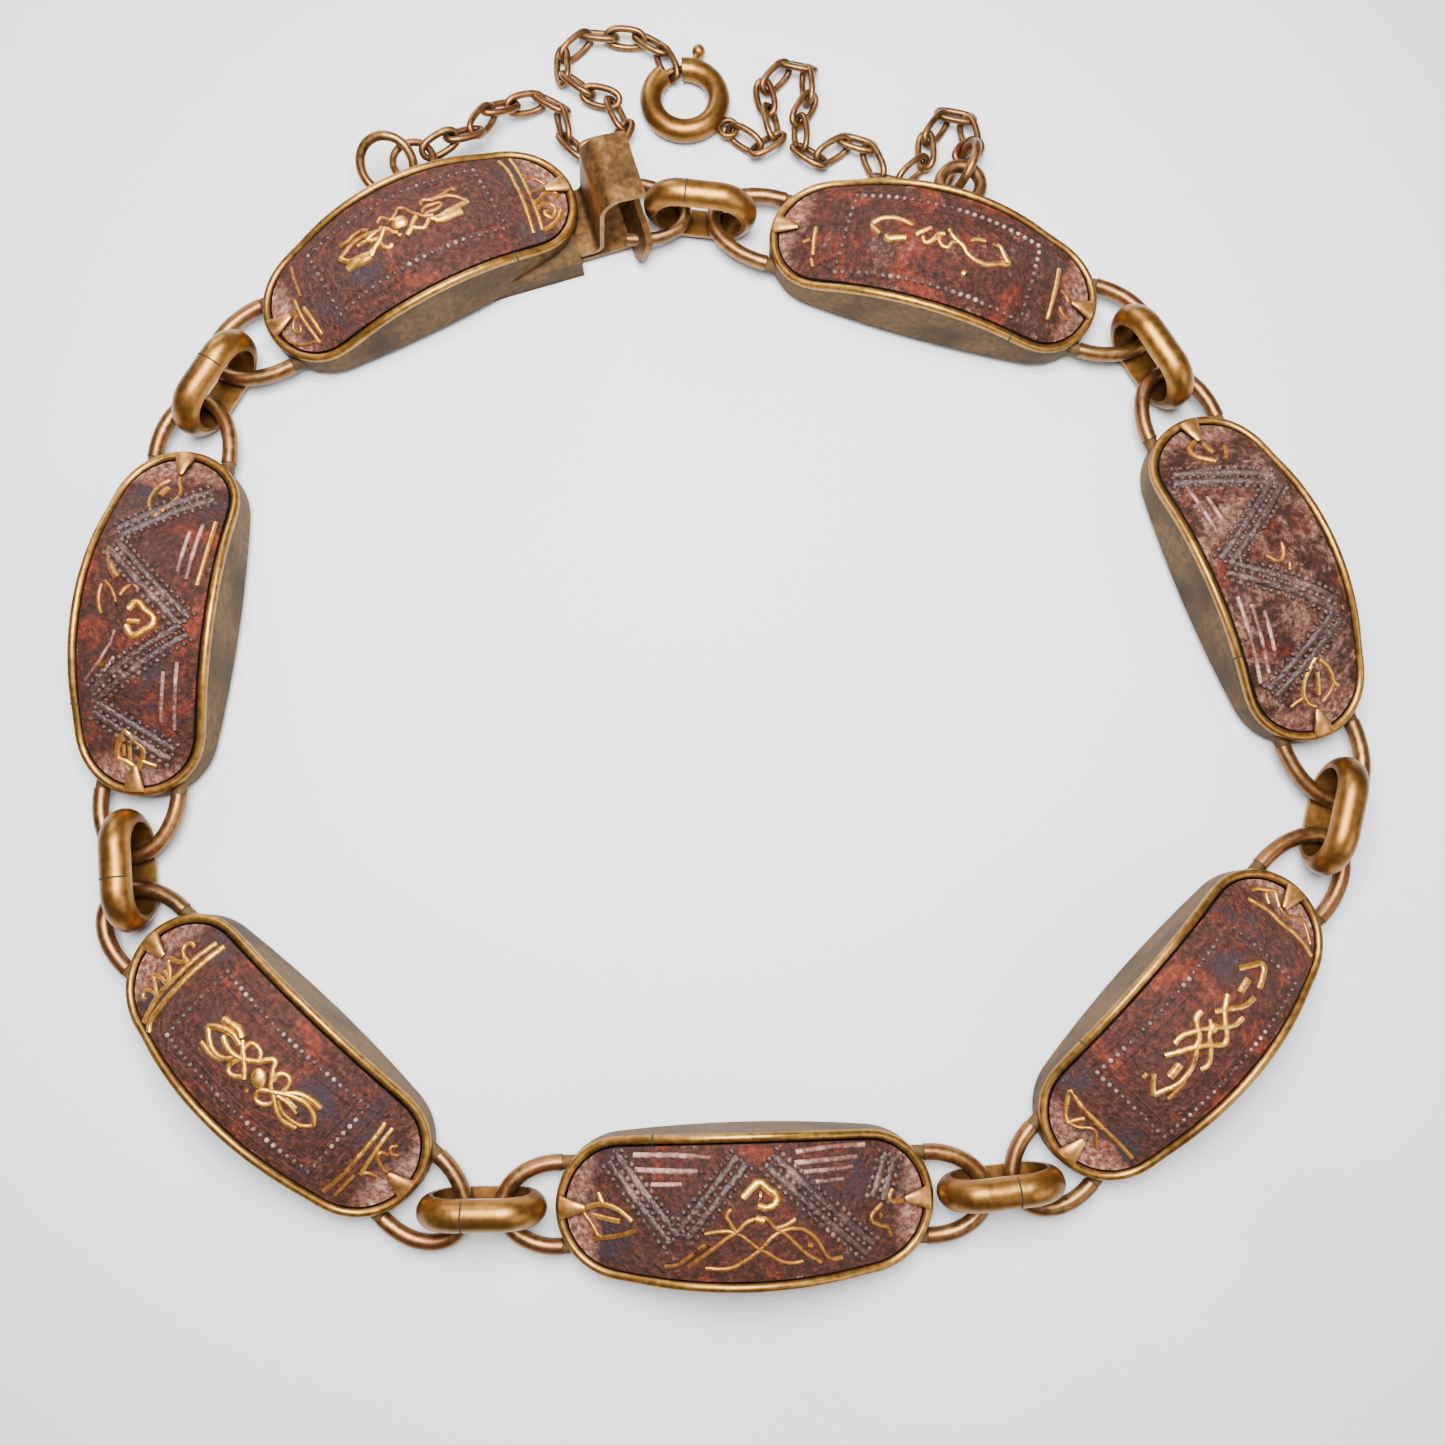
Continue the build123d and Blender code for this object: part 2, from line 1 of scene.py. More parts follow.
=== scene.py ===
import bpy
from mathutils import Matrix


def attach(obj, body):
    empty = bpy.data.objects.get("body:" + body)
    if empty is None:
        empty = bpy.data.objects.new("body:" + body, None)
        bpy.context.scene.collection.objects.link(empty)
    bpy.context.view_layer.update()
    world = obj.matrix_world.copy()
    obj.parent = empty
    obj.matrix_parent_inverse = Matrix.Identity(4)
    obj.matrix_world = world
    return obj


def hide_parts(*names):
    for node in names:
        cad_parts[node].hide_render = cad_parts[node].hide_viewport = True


bl_info = {
    "name": "Box-set link bracelet",
    "version": (1, 0, 0),
    "blender": (4, 5, 0),
    "location": "View3D > Sidebar > Bracelet",
    "description": "Dresses a bracelet of box-set steel plaques with inlay, relief and worn finishes",
    "category": "Object",
}

import math

import bmesh
import bpy
import numpy as np
from bpy.props import FloatProperty, FloatVectorProperty, PointerProperty
from bpy.types import Operator, Panel, PropertyGroup
from mathutils import Matrix, Vector
from mathutils.bvhtree import BVHTree

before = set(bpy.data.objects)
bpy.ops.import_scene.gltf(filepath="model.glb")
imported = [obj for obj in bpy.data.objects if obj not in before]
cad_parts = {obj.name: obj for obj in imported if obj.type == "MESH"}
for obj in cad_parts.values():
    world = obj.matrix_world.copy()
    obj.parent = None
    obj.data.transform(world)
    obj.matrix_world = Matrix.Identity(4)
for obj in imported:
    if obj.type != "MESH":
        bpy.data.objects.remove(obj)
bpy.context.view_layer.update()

# Everything is typed in millimetres and placed in metres
MM = 0.001

# The layout of the bezels, as in the solids: centre and turn of the long axis
PITCH = 27.4
SHIFT = (-0.475, -7.7487)
BEZELS = {
    1: {"x": -0.702, "y": 1.087, "turn": 29.15, "tail": 1.16, "head": 0},
    2: {"x": 0.491, "y": 1.066, "turn": -16.22, "tail": 1.15, "head": 1.10},
    3: {"x": 1.195, "y": 0.330, "turn": -70.11, "tail": 1.05, "head": 1.18},
    4: {"x": 0.976, "y": -0.650, "turn": -133.53, "tail": 1.13, "head": 0.92},
    5: {"x": 0.046, "y": -1.012, "turn": -178.56, "tail": 0.94, "head": 0.93},
    6: {"x": -0.933, "y": -0.732, "turn": 137.98, "tail": 1.00, "head": 0.97},
    7: {"x": -1.240, "y": 0.219, "turn": 85.39, "tail": 1.05, "head": 1.07},
}

# Sizes of the solids that the dressing fits: the bezel, its end loops, its side eyes, and a chain link
HALF_LENGTH = 10.7
HALF_WIDTH = 4.15
END_RADIUS = 3.85
WALL = 0.45
BASE = 0.67
RIM_HEIGHT = 4.12
RIM_END_HEIGHT = 1.5
RIM_CROWN = 0.55
LOOP_LEVEL = 1.42
LOOP_HALF = 2.3
LOOP_REACH = 3.5
EYE_RADIUS = 1.3
EYE_OUT = 5.55
EYE_LEVEL = 3.02
LINK_HALF_LENGTH = 1.26
LINK_HALF_WIDTH = 0.57
LINK_FULLNESS = 0.8

# How far each link is rolled from how its solid lies, and how that varies by turns, in degrees
LINK_ROLL = 36
LINK_ROLLS = (4, -6, 8, -10, 6, 10, -8, 2)

# The side eyes: how far along each bezel, and the radius of their wire
SIDE_EYES = {1: (2.5, 0.245), 2: (0.2, 0.425)}

# The radius of the jump rings' wire as drawn, a little stouter than in the solids
JUMP_RADIUS = 0.31

# A claw: how far it reaches over the plaque, its half widths, its thickness as a share of its width,
# how high its foot and tip stand, and the rounding of its edges
CLAW_REACH = 1.8
CLAW_HALF_WIDTH = 0.68
CLAW_TIP = 0.16
CLAW_THICKNESS = 0.42
CLAW_FOOT_RISE = 0.12
CLAW_TIP_RISE = 0.22
CLAW_ROUNDING = 0.06

# How far the rim lips' middle lies under the rim, and how far the end loops run into the wall
LIP_SUNK = 0.12
LOOP_ROOT = 0.3
LOOP_SET_IN = 0.1

# Joint lines: how far along each connector ring's top, and where on a rim, inner side first
RING_SEAMS = {1: 0.9, 4: -0.6, 5: 0.8, 6: -0.5, 7: 0.7}
RIM_SEAMS = {1: (5.1, -1), 2: (5.6, -1), 3: (4.4, -1), 4: (5.1, -1), 5: (5.1, -1), 7: (-5.6, 1)}

# Gold inlay, traced in each plaque's own frame in millimetres: along, and out from the middle.
# Each run is the wire's radius and its points. Bright runs still glitter, and worn ones are rubbed thin.
BRIGHT_INLAY = {
    1: [
        (0.15, [(-4.55, 0.7), (-4.4, 0.4), (-4.1, 0.1), (-3.5, -0.03), (-2.8, -0.2), (-2.45, -0.1)]),
        (0.12, [(-3.25, 0.65), (-2.8, 0.62), (-2.4, 0.42), (-1.9, 0.3)]),
        (0.11, [(-2.6, 0.62), (-2.1, 0.76), (-1.7, 0.72)]),
        (0.2, [(-4.45, -0.22), (-3.9, -0.25), (-3.4, -0.42), (-2.8, -0.42)]),
        (0.15, [(-2.8, -0.42), (-2.4, -0.1), (-1.95, 0.12), (-1.6, 0.42), (-1.3, 0.72)]),
        (0.14, [(-1.95, 0.1), (-1.9, -0.3), (-1.62, -0.58), (-1.35, -0.48)]),
        (0.13, [(-1.55, 0.85), (-1.15, 0.5), (-0.92, 0.12), (-0.7, -0.02)]),
        (0.13, [(-0.75, -0.18), (-0.6, -0.3)]),
        (0.15, [(-0.3, -0.4), (0.05, -0.25), (0.4, 0.15), (0.75, 0.42)]),
        (0.13, [(0.2, -0.1), (0.5, -0.32), (0.85, -0.46), (1.12, -0.3), (1.4, -0.05)]),
        (0.14, [(4.05, 0.2), (3.4, 0.08), (2.6, -0.05), (1.9, -0.2), (1.45, -0.1)]),
        (0.22, [(1.65, -0.28), (2.1, -0.42), (2.8, -0.36), (3.35, -0.35)]),
        (0.13, [(-8.0, -0.1), (-7.87, -1.2), (-7.8, -2.2)]),
        (0.12, [(-8.3, 0.7), (-8.4, -0.2), (-8.35, -1.2), (-8.15, -2.5)]),
        (0.13, [(7.25, 2.9), (7.45, 2.0), (7.4, 0.8), (7.3, -0.4), (7.1, -1.6), (6.85, -2.7)]),
        (0.13, [(8.0, 2.9), (8.05, 1.9), (8.0, 0.8), (7.9, -0.3), (7.75, -1.4), (7.5, -2.6)]),
        (0.13, [(7.5, -2.6), (8.1, -2.45), (8.8, -2.1), (9.3, -1.6)]),
        (0.12, [(7.95, -0.72), (8.4, -0.5), (8.9, -0.2), (9.6, -0.35), (9.3, -0.7)]),
        (0.12, [(7.8, -1.1), (8.9, -1.0), (8.95, -1.5), (8.5, -1.85), (8.2, -1.55), (8.5, -1.4)]),
    ],
    2: [
        (0.14, [(-2.0, 0.5), (-2.7, 0.75), (-3.6, 0.8), (-4.2, 0.55), (-4.45, 0.2), (-4.1, -0.15),
                (-3.8, -0.35)]),
        (0.2, [(-3.45, -0.5), (-3.2, -0.62), (-2.8, -0.52), (-2.2, -0.4)]),
        (0.14, [(-1.7, -0.1), (-1.4, 0.2), (-0.9, 0.6)]),
        (0.14, [(-1.25, -0.1), (-1.0, -0.45), (-0.75, -0.35), (-0.5, 0.0), (-0.35, 0.3), (0.0, 0.42)]),
        (0.12, [(-0.25, 0.3), (-0.2, -0.1), (0.1, -0.4), (0.45, -0.35), (0.6, 0.0), (0.9, 0.2)]),
        (0.14, [(0.2, 0.8), (0.5, 0.45), (0.9, 0.2), (1.3, 0.0), (1.7, -0.4), (2.2, -0.6)]),
        (0.15, [(2.2, -0.6), (2.9, -0.6), (3.5, -0.32), (3.9, -0.1), (4.3, 0.05), (4.1, 0.3), (3.8, 0.6)]),
        (0.13, [(3.8, 0.6), (3.5, 0.9), (3.0, 0.9)]),
        (0.12, [(1.6, 0.5), (2.0, 0.75), (2.55, 0.85)]),
        (0.13, [(7.65, 1.7), (7.72, 0.5), (7.75, -0.6), (7.75, -1.8)]),
        (0.14, [(-7.85, 0.0), (-7.78, -0.8), (-7.55, -1.9)]),
        (0.12, [(-7.6, -2.1), (-7.35, -2.6)]),
        (0.2, [(1.65, -1.6), (1.85, -1.65)]),
    ],
    3: [
        (0.12, [(6.1, 0.5), (6.6, 1.0), (7.3, 1.35), (7.8, 1.42), (8.1, 1.7)]),
        (0.12, [(6.1, 0.45), (6.7, -0.1), (7.3, -0.5), (8.0, -0.6), (8.5, -0.4), (8.8, 0.0)]),
        (0.13, [(6.9, 0.42), (7.5, 0.4), (8.2, 0.33)]),
    ],
    4: [
        (0.15, [(-3.8, 1.1), (-4.4, 0.95), (-5.1, 0.5), (-4.7, 0.1), (-4.2, -0.25), (-3.85, -0.5)]),
        (0.2, [(-3.75, 0.28), (-3.3, 0.3), (-2.8, 0.32)]),
        (0.15, [(-3.2, 1.15), (-2.5, 1.0), (-2.1, 0.75), (-1.6, 0.3), (-1.3, 0.1), (-0.98, -0.15)]),
        (0.17, [(-2.25, -0.15), (-1.9, 0.02), (-1.4, 0.25)]),
        (0.15, [(-1.4, 0.25), (-1.0, 0.65), (-0.6, 1.1), (-0.1, 1.4), (0.2, 1.25), (0.5, 0.9),
                (0.9, 0.55)]),
        (0.16, [(0.9, 0.55), (1.2, 0.35), (2.0, -0.12), (2.7, -0.52)]),
        (0.14, [(-1.85, 1.3), (-1.4, 1.25), (-1.0, 1.05), (-0.7, 0.8), (-0.4, 0.5), (-0.2, 0.3)]),
        (0.14, [(-0.2, 0.3), (0.2, 0.0), (0.5, -0.2), (0.9, -0.42), (1.3, -0.6), (1.85, -0.6)]),
        (0.1, [(-0.2, 0.2), (-0.5, -0.05)]),
        (0.17, [(-0.5, -0.68), (0.0, -0.65), (0.3, -0.3), (0.6, 0.05), (0.9, 0.25), (1.2, 0.35)]),
        (0.14, [(1.2, 0.35), (1.4, 0.55), (2.0, 0.9), (2.9, 1.08), (3.6, 1.0), (4.1, 0.8), (4.65, 0.6)]),
        (0.14, [(4.65, 0.6), (4.4, 0.3), (4.1, 0.0), (3.78, -0.25)]),
        (0.13, [(-0.1, 0.35), (0.25, 0.5), (0.5, 0.85), (0.9, 1.2), (1.3, 1.48), (1.65, 1.5), (1.9, 1.38)]),
        (0.22, [(2.45, 0.36), (2.9, 0.42), (3.35, 0.45)]),
        (0.12, [(4.05, -0.48), (4.35, -0.46)]),
        (0.13, [(-7.95, 2.9), (-8.15, 2.2), (-8.2, 1.2), (-8.12, 0.4), (-8.2, -0.5), (-8.0, -1.5),
                (-7.9, -2.0)]),
        (0.12, [(-8.9, -0.2), (-9.2, -0.5), (-9.5, -0.9), (-9.2, -1.4), (-8.9, -1.8), (-8.5, -2.1)]),
        (0.1, [(-8.6, -0.8), (-8.9, -1.15), (-9.1, -1.2)]),
        (0.14, [(7.8, 0.2), (7.75, -1.2), (7.5, -2.5)]),
        (0.12, [(7.5, -2.5), (8.1, -2.1), (8.6, -1.75), (8.9, -1.3)]),
        (0.11, [(8.1, -0.8), (8.5, -1.05), (8.9, -1.2)]),
    ],
    5: [
        (0.2, [(-0.9, 0.32), (-0.45, 0.18)]),
        (0.2, [(0.2, -0.9), (-0.3, -1.38), (-0.7, -1.65), (-1.2, -1.3), (-1.65, -0.9), (-1.5, -0.5)]),
        (0.17, [(-1.5, -0.5), (-1.1, -0.35), (-0.6, -0.5)]),
        (0.19, [(-0.68, -1.0), (-0.8, -0.98)]),
        (0.12, [(6.3, 0.5), (6.8, 0.1), (7.5, -0.2), (8.2, -0.25), (9.1, 0.05)]),
        (0.13, [(6.95, 0.55), (7.7, 0.48), (8.6, 0.35)]),
        (0.14, [(8.0, -0.35), (8.25, -0.85)]),
    ],
    6: [
        (0.14, [(-4.3, 0.22), (-4.0, -0.15), (-3.3, -0.4), (-2.6, -0.32), (-2.0, -0.05)]),
        (0.12, [(-2.4, 0.92), (-2.0, 0.65), (-1.6, 0.35), (-1.2, 0.1), (-0.9, -0.3), (-0.6, -0.72)]),
        (0.15, [(-0.6, -0.72), (-0.4, -1.02), (-0.1, -0.8), (0.2, -0.42), (0.6, -0.1), (1.0, 0.15)]),
        (0.15, [(1.0, 0.15), (1.5, 0.26), (2.1, 0.24), (2.7, 0.03)]),
        (0.16, [(-3.95, -0.7), (-3.4, -0.74), (-2.8, -0.65), (-2.3, -0.38)]),
        (0.13, [(-2.3, -0.38), (-1.9, 0.0), (-1.4, 0.3), (-1.0, 0.55), (-0.86, 0.8)]),
        (0.12, [(-0.86, 0.8), (-1.0, 1.1), (-1.4, 1.14), (-1.7, 0.95), (-1.85, 0.7)]),
        (0.13, [(-1.9, -0.1), (-1.86, -0.5), (-1.65, -0.85), (-1.3, -0.85), (-1.05, -0.6), (-1.1, -0.2)]),
        (0.1, [(-3.2, 0.3), (-2.5, 0.16), (-1.8, 0.25)]),
        (0.09, [(-3.0, 0.08), (-2.2, 0.02)]),
        (0.14, [(0.15, 0.8), (0.5, 0.42), (0.9, 0.05), (1.3, -0.25), (1.7, -0.58)]),
        (0.22, [(1.8, -0.62), (2.3, -0.8), (2.9, -0.68), (3.35, -0.58)]),
        (0.13, [(0.35, 0.78), (0.65, 1.05), (1.0, 1.12), (1.28, 0.88), (1.25, 0.55), (1.05, 0.2)]),
        (0.13, [(0.2, -0.4), (0.42, -0.75), (0.8, -0.9), (1.2, -0.78), (1.34, -0.42), (1.1, 0.0)]),
        (0.14, [(1.4, 0.45), (1.9, 0.85), (2.6, 0.92), (3.0, 0.78), (3.75, 0.28)]),
        (0.16, [(3.75, 0.28), (3.2, -0.12), (2.4, -0.42), (1.6, -0.33)]),
        (0.13, [(1.5, 0.5), (1.9, 0.95), (2.4, 1.15), (3.4, 1.12)]),
        (0.13, [(-7.18, 0.2), (-7.15, -1.0), (-7.0, -2.1)]),
        (0.12, [(-7.9, 0.9), (-7.75, 0.0), (-7.6, -1.0), (-7.5, -2.1)]),
        (0.16, [(6.4, 3.4), (6.7, 2.9), (6.85, 1.9), (6.9, 0.5), (6.85, -1.2), (6.65, -2.9)]),
        (0.15, [(7.05, 3.2), (7.25, 2.5), (7.45, 1.7), (7.46, 0.3), (7.43, -0.9), (7.3, -2.0),
                (7.15, -2.7)]),
        (0.1, [(7.45, 1.65), (8.1, 1.78), (8.4, 2.1), (8.2, 2.4), (7.92, 2.3)]),
        (0.1, [(7.5, 1.65), (8.2, 1.35), (8.8, 1.15)]),
        (0.12, [(8.8, 1.15), (8.2, 0.85), (7.6, 0.65), (8.3, 0.48)]),
        (0.12, [(7.6, 0.55), (8.1, 0.2), (8.6, -0.1), (8.1, -0.42), (7.6, -0.85)]),
        (0.11, [(7.55, -0.9), (8.1, -0.88), (8.5, -1.15), (8.35, -1.6), (7.95, -1.62)]),
    ],
    7: [
        (0.19, [(-1.2, 0.45), (-1.75, 0.0), (-1.5, -0.45), (-0.75, -1.1), (-0.2, -0.5), (0.2, 0.0),
                (-0.2, 0.45)]),
        (0.12, [(-0.92, 0.4), (-0.9, -0.35)]),
        (0.16, [(-3.5, 1.92), (-3.4, 1.72)]),
        (0.14, [(-9.2, -0.08), (-8.8, 0.5), (-8.6, 1.05), (-8.1, 1.05), (-7.6, 0.88), (-7.0, 0.5)]),
        (0.14, [(-7.0, 0.5), (-7.5, 0.05), (-8.0, -0.48), (-8.5, -0.4), (-9.2, -0.08)]),
        (0.1, [(-8.75, 0.35), (-7.6, 0.28)]),
        (0.08, [(-8.45, 0.68), (-7.85, 0.66)]),
        (0.12, [(-8.7, -0.4), (-8.82, -0.8), (-8.9, -1.2)]),
        (0.12, [(1.6, -3.0), (3.5, -3.08), (5.9, -3.0)]),
    ],
}

WORN_INLAY = {
    1: [
        (0.13, [(-1.5, 0.7), (-2.1, 0.85), (-2.8, 1.0), (-3.6, 0.98), (-4.1, 0.83), (-4.55, 0.7)]),
        (0.12, [(-4.2, 1.38), (-3.7, 1.35), (-3.1, 1.45), (-2.6, 1.38), (-2.2, 1.1)]),
        (0.11, [(-1.55, 1.25), (-1.2, 1.45), (-0.98, 1.25), (-0.75, 1.0), (-0.3, 1.2), (0.0, 1.48)]),
        (0.11, [(0.0, 1.48), (0.3, 1.32), (0.55, 0.9), (0.9, 0.5), (1.2, 0.22), (1.7, 0.1)]),
        (0.1, [(1.15, 0.45), (1.4, 0.72), (2.0, 0.75), (2.5, 0.6), (2.2, 0.38), (1.5, 0.36), (1.15, 0.22)]),
        (0.11, [(1.35, 0.9), (1.48, 1.25), (2.1, 1.12), (2.9, 1.2), (3.4, 1.38), (3.68, 1.35),
                (3.6, 1.12)]),
        (0.12, [(2.0, 1.08), (2.9, 1.05), (3.5, 0.78), (4.05, 0.2)]),
        (0.1, [(-7.5, 2.8), (-7.7, 1.8), (-7.85, 0.6)]),
        (0.09, [(-9.6, 0.05), (-9.0, 0.08), (-8.4, 0.1)]),
        (0.09, [(-9.9, -0.2), (-9.9, -0.9), (-9.7, -1.4), (-9.2, -1.9), (-8.5, -2.2), (-8.1, -2.5)]),
        (0.09, [(-8.6, -0.1), (-9.1, -0.4), (-9.25, -0.9), (-8.9, -1.1), (-8.82, -0.7)]),
        (0.1, [(8.0, 0.05), (8.6, 0.1), (9.2, 0.35)]),
        (0.09, [(8.1, 1.2), (8.8, 1.0), (9.2, 0.5)]),
    ],
    2: [
        (0.12, [(8.1, 0.4), (8.5, 0.3), (8.8, 0.0)]),
        (0.13, [(8.3, -0.6), (8.6, -0.9), (9.1, -1.1)]),
        (0.12, [(-8.4, -1.0), (-8.0, -0.8)]),
    ],
    3: [
        (0.14, [(-8.1, 1.2), (-7.6, 1.0), (-7.2, 0.62)]),
        (0.17, [(-8.7, 0.22), (-8.3, 0.22), (-7.85, 0.3)]),
        (0.17, [(-9.1, -0.2), (-8.75, -0.75), (-8.2, -0.82), (-7.7, -0.4), (-7.3, 0.1)]),
        (0.09, [(7.8, 1.42), (8.3, 1.1), (8.7, 0.5)]),
        (0.1, [(8.1, -0.7), (8.2, -1.1), (8.35, -1.5)]),
        (0.12, [(-0.9, 0.6), (-0.4, 0.5), (0.1, 0.05), (-0.5, -0.6)]),
        (0.1, [(0.4, 0.55), (0.8, 0.4)]),
    ],
    4: [
        (0.13, [(2.9, 1.2), (3.4, 1.28), (4.25, 1.3)]),
        (0.09, [(-8.5, 2.5), (-9.0, 1.9), (-9.3, 1.3), (-9.1, 0.8), (-8.8, 0.4), (-8.9, -0.2)]),
        (0.1, [(-8.8, 0.5), (-8.3, 0.42)]),
        (0.13, [(7.85, 2.6), (7.8, 1.5), (7.8, 0.2)]),
        (0.1, [(8.9, -1.3), (8.7, -0.7), (8.2, 0.02), (8.55, 0.5), (8.85, 0.9)]),
    ],
    5: [
        (0.12, [(-5.2, 2.65), (-4.6, 2.65), (-4.2, 2.3), (-3.9, 1.7), (-3.4, 1.1), (-2.6, 0.8),
                (-1.8, 0.9)]),
        (0.11, [(-1.8, 0.9), (-1.3, 1.2), (-0.8, 1.7), (-0.3, 2.1), (0.4, 2.55), (1.0, 2.8), (2.3, 2.8)]),
        (0.12, [(-4.0, 2.75), (-3.2, 2.2), (-2.5, 1.5), (-2.0, 1.0), (-1.5, 0.7), (-1.0, 0.2),
                (-0.4, 0.2)]),
        (0.12, [(-2.65, 0.32), (-2.1, 0.6), (-1.6, 0.7)]),
        (0.1, [(-3.0, 2.6), (-2.4, 2.65), (-1.8, 2.5), (-1.2, 2.1), (-0.5, 1.7), (0.1, 1.2), (0.6, 0.9)]),
        (0.12, [(0.6, 0.9), (0.9, 0.4), (1.1, 0.0), (0.85, -0.35)]),
        (0.12, [(-0.4, 0.2), (0.1, 0.4), (0.5, 0.8), (1.0, 1.1), (1.7, 1.6), (2.5, 2.2), (3.2, 2.7)]),
        (0.11, [(0.7, 0.85), (1.3, 0.8), (2.3, 0.95)]),
        (0.1, [(2.9, 2.0), (3.3, 2.3), (3.9, 2.7), (4.5, 2.8)]),
        (0.15, [(-3.5, 1.8), (-3.25, 1.72)]),
        (0.15, [(2.25, 1.5), (2.65, 1.75)]),
        (0.12, [(-8.1, 1.9), (-7.9, 1.4), (-7.4, 1.2), (-6.95, 0.8), (-7.3, 0.35), (-7.6, 0.1)]),
        (0.17, [(-7.55, 0.7), (-7.4, 0.72)]),
        (0.15, [(-8.9, 0.1), (-8.35, 0.08), (-8.1, -0.1), (-8.3, -0.6)]),
        (0.12, [(6.1, 0.95), (6.8, 1.25), (7.6, 1.45), (8.2, 1.5), (8.6, 0.9), (9.1, 0.3)]),
        (0.1, [(8.2, 1.5), (8.5, 1.8)]),
    ],
    6: [
        (0.12, [(-2.0, 0.4), (-2.6, 0.72), (-3.3, 0.75), (-3.9, 0.6), (-4.3, 0.22)]),
        (0.16, [(-3.7, 0.92), (-3.3, 1.02), (-2.9, 1.05), (-2.4, 0.92)]),
        (0.12, [(-0.4, 1.2), (-0.3, 1.0)]),
        (0.13, [(-7.0, 2.9), (-7.15, 2.0), (-7.22, 1.0), (-7.18, 0.2)]),
        (0.1, [(-7.6, 2.7), (-7.65, 1.8), (-7.7, 1.1)]),
        (0.12, [(-8.9, 0.0), (-8.4, -0.12), (-7.9, -0.6), (-8.3, -0.8)]),
        (0.1, [(-8.75, -1.1), (-8.4, -0.95), (-8.15, -1.2), (-8.35, -1.45)]),
        (0.1, [(-8.7, 0.5), (-8.2, 0.6), (-7.9, 0.85)]),
    ],
    7: [
        (0.11, [(-0.6, 2.05), (-0.1, 2.3), (0.5, 2.45), (1.2, 2.42)]),
        (0.1, [(0.1, 1.25), (0.8, 1.6), (1.4, 2.2)]),
        (0.22, [(1.6, 1.4), (1.95, 1.75), (2.4, 2.1)]),
        (0.12, [(2.3, 2.05), (2.8, 2.4), (3.6, 2.6)]),
        (0.11, [(0.6, 1.1), (1.08, 0.75), (1.18, 0.3), (0.9, 0.0)]),
        (0.12, [(5.8, 0.5), (6.3, 0.9), (7.0, 1.2), (7.6, 1.2), (8.2, 1.0), (8.6, 0.6)]),
        (0.13, [(5.8, 0.5), (6.5, 0.0), (7.2, -0.35), (7.8, -0.42), (8.4, -0.1), (8.8, 0.0)]),
        (0.2, [(7.35, 0.7), (7.7, 0.55), (7.95, 0.4)]),
    ],
}

# Low bosses of gold: the radius, and the two points that it is drawn out between
BOSSES = {
    1: [
        (0.42, [(-0.42, 0.55), (-0.2, 0.55)]),
    ],
    4: [
        (0.3, [(-0.3, 0.38), (-0.15, 0.35)]),
    ],
    6: [
        (0.42, [(-0.5, 0.3), (-0.32, 0.12)]),
    ],
}

# The inlay stands this much fuller than its traced line, since its edges are spread by the hammer,
# and lies this share of its radius in the steel. A boss is this high for its width.
INLAY_FULLNESS = 1.22
INLAY_SUNK = 0.2
BOSS_HEIGHT = 0.5

# Raised steel fillets in the same frame: the straight frames round four of the plaques, all alike,
# and the bars of the other three, each with its radius, how much of it is sunk, and its line
FRAME_RADIUS = 0.12
FRAME_SUNK = 0.55
FRAMES = {
    1: [
        ((-6.0, 2.2), (5.2, 2.2)), ((-6.0, -1.65), (5.2, -1.65)), ((-5.6, 2.4), (-5.6, -2.0)),
        ((5.0, 2.3), (5.0, -2.2)), ((-6.6, -2.45), (5.8, -2.45)), ((-6.6, 2.8), (6.0, 2.8)),
        ((-6.75, 2.8), (-6.8, -2.4)), ((5.85, 2.8), (5.85, -2.4)),
    ],
    2: [
        ((-5.3, 2.05), (5.4, 2.05)), ((-5.3, -2.3), (5.4, -2.3)), ((-5.35, 2.1), (-5.35, -2.3)),
        ((5.5, 2.1), (5.5, -2.3)), ((-6.4, 2.8), (6.6, 2.8)), ((-6.5, 2.5), (-6.5, -2.6)),
    ],
    4: [
        ((-5.2, 2.45), (5.3, 2.45)), ((-5.0, -1.75), (5.3, -1.75)), ((-5.2, 2.4), (-5.2, -1.8)),
        ((5.3, 2.4), (5.3, -1.8)), ((-6.0, -2.7), (6.2, -2.7)), ((6.35, 3.0), (6.35, -2.6)),
    ],
    6: [
        ((-5.1, 2.0), (4.7, 2.0)), ((-5.1, -1.8), (4.7, -1.8)), ((-5.15, 2.0), (-5.15, -1.8)),
        ((4.75, 2.1), (4.75, -1.8)), ((-6.2, 2.9), (5.8, 2.9)), ((5.85, 2.9), (5.8, -2.6)),
        ((-6.3, 2.8), (-6.3, -2.5)), ((-6.2, -2.7), (5.8, -2.7)),
    ],
}
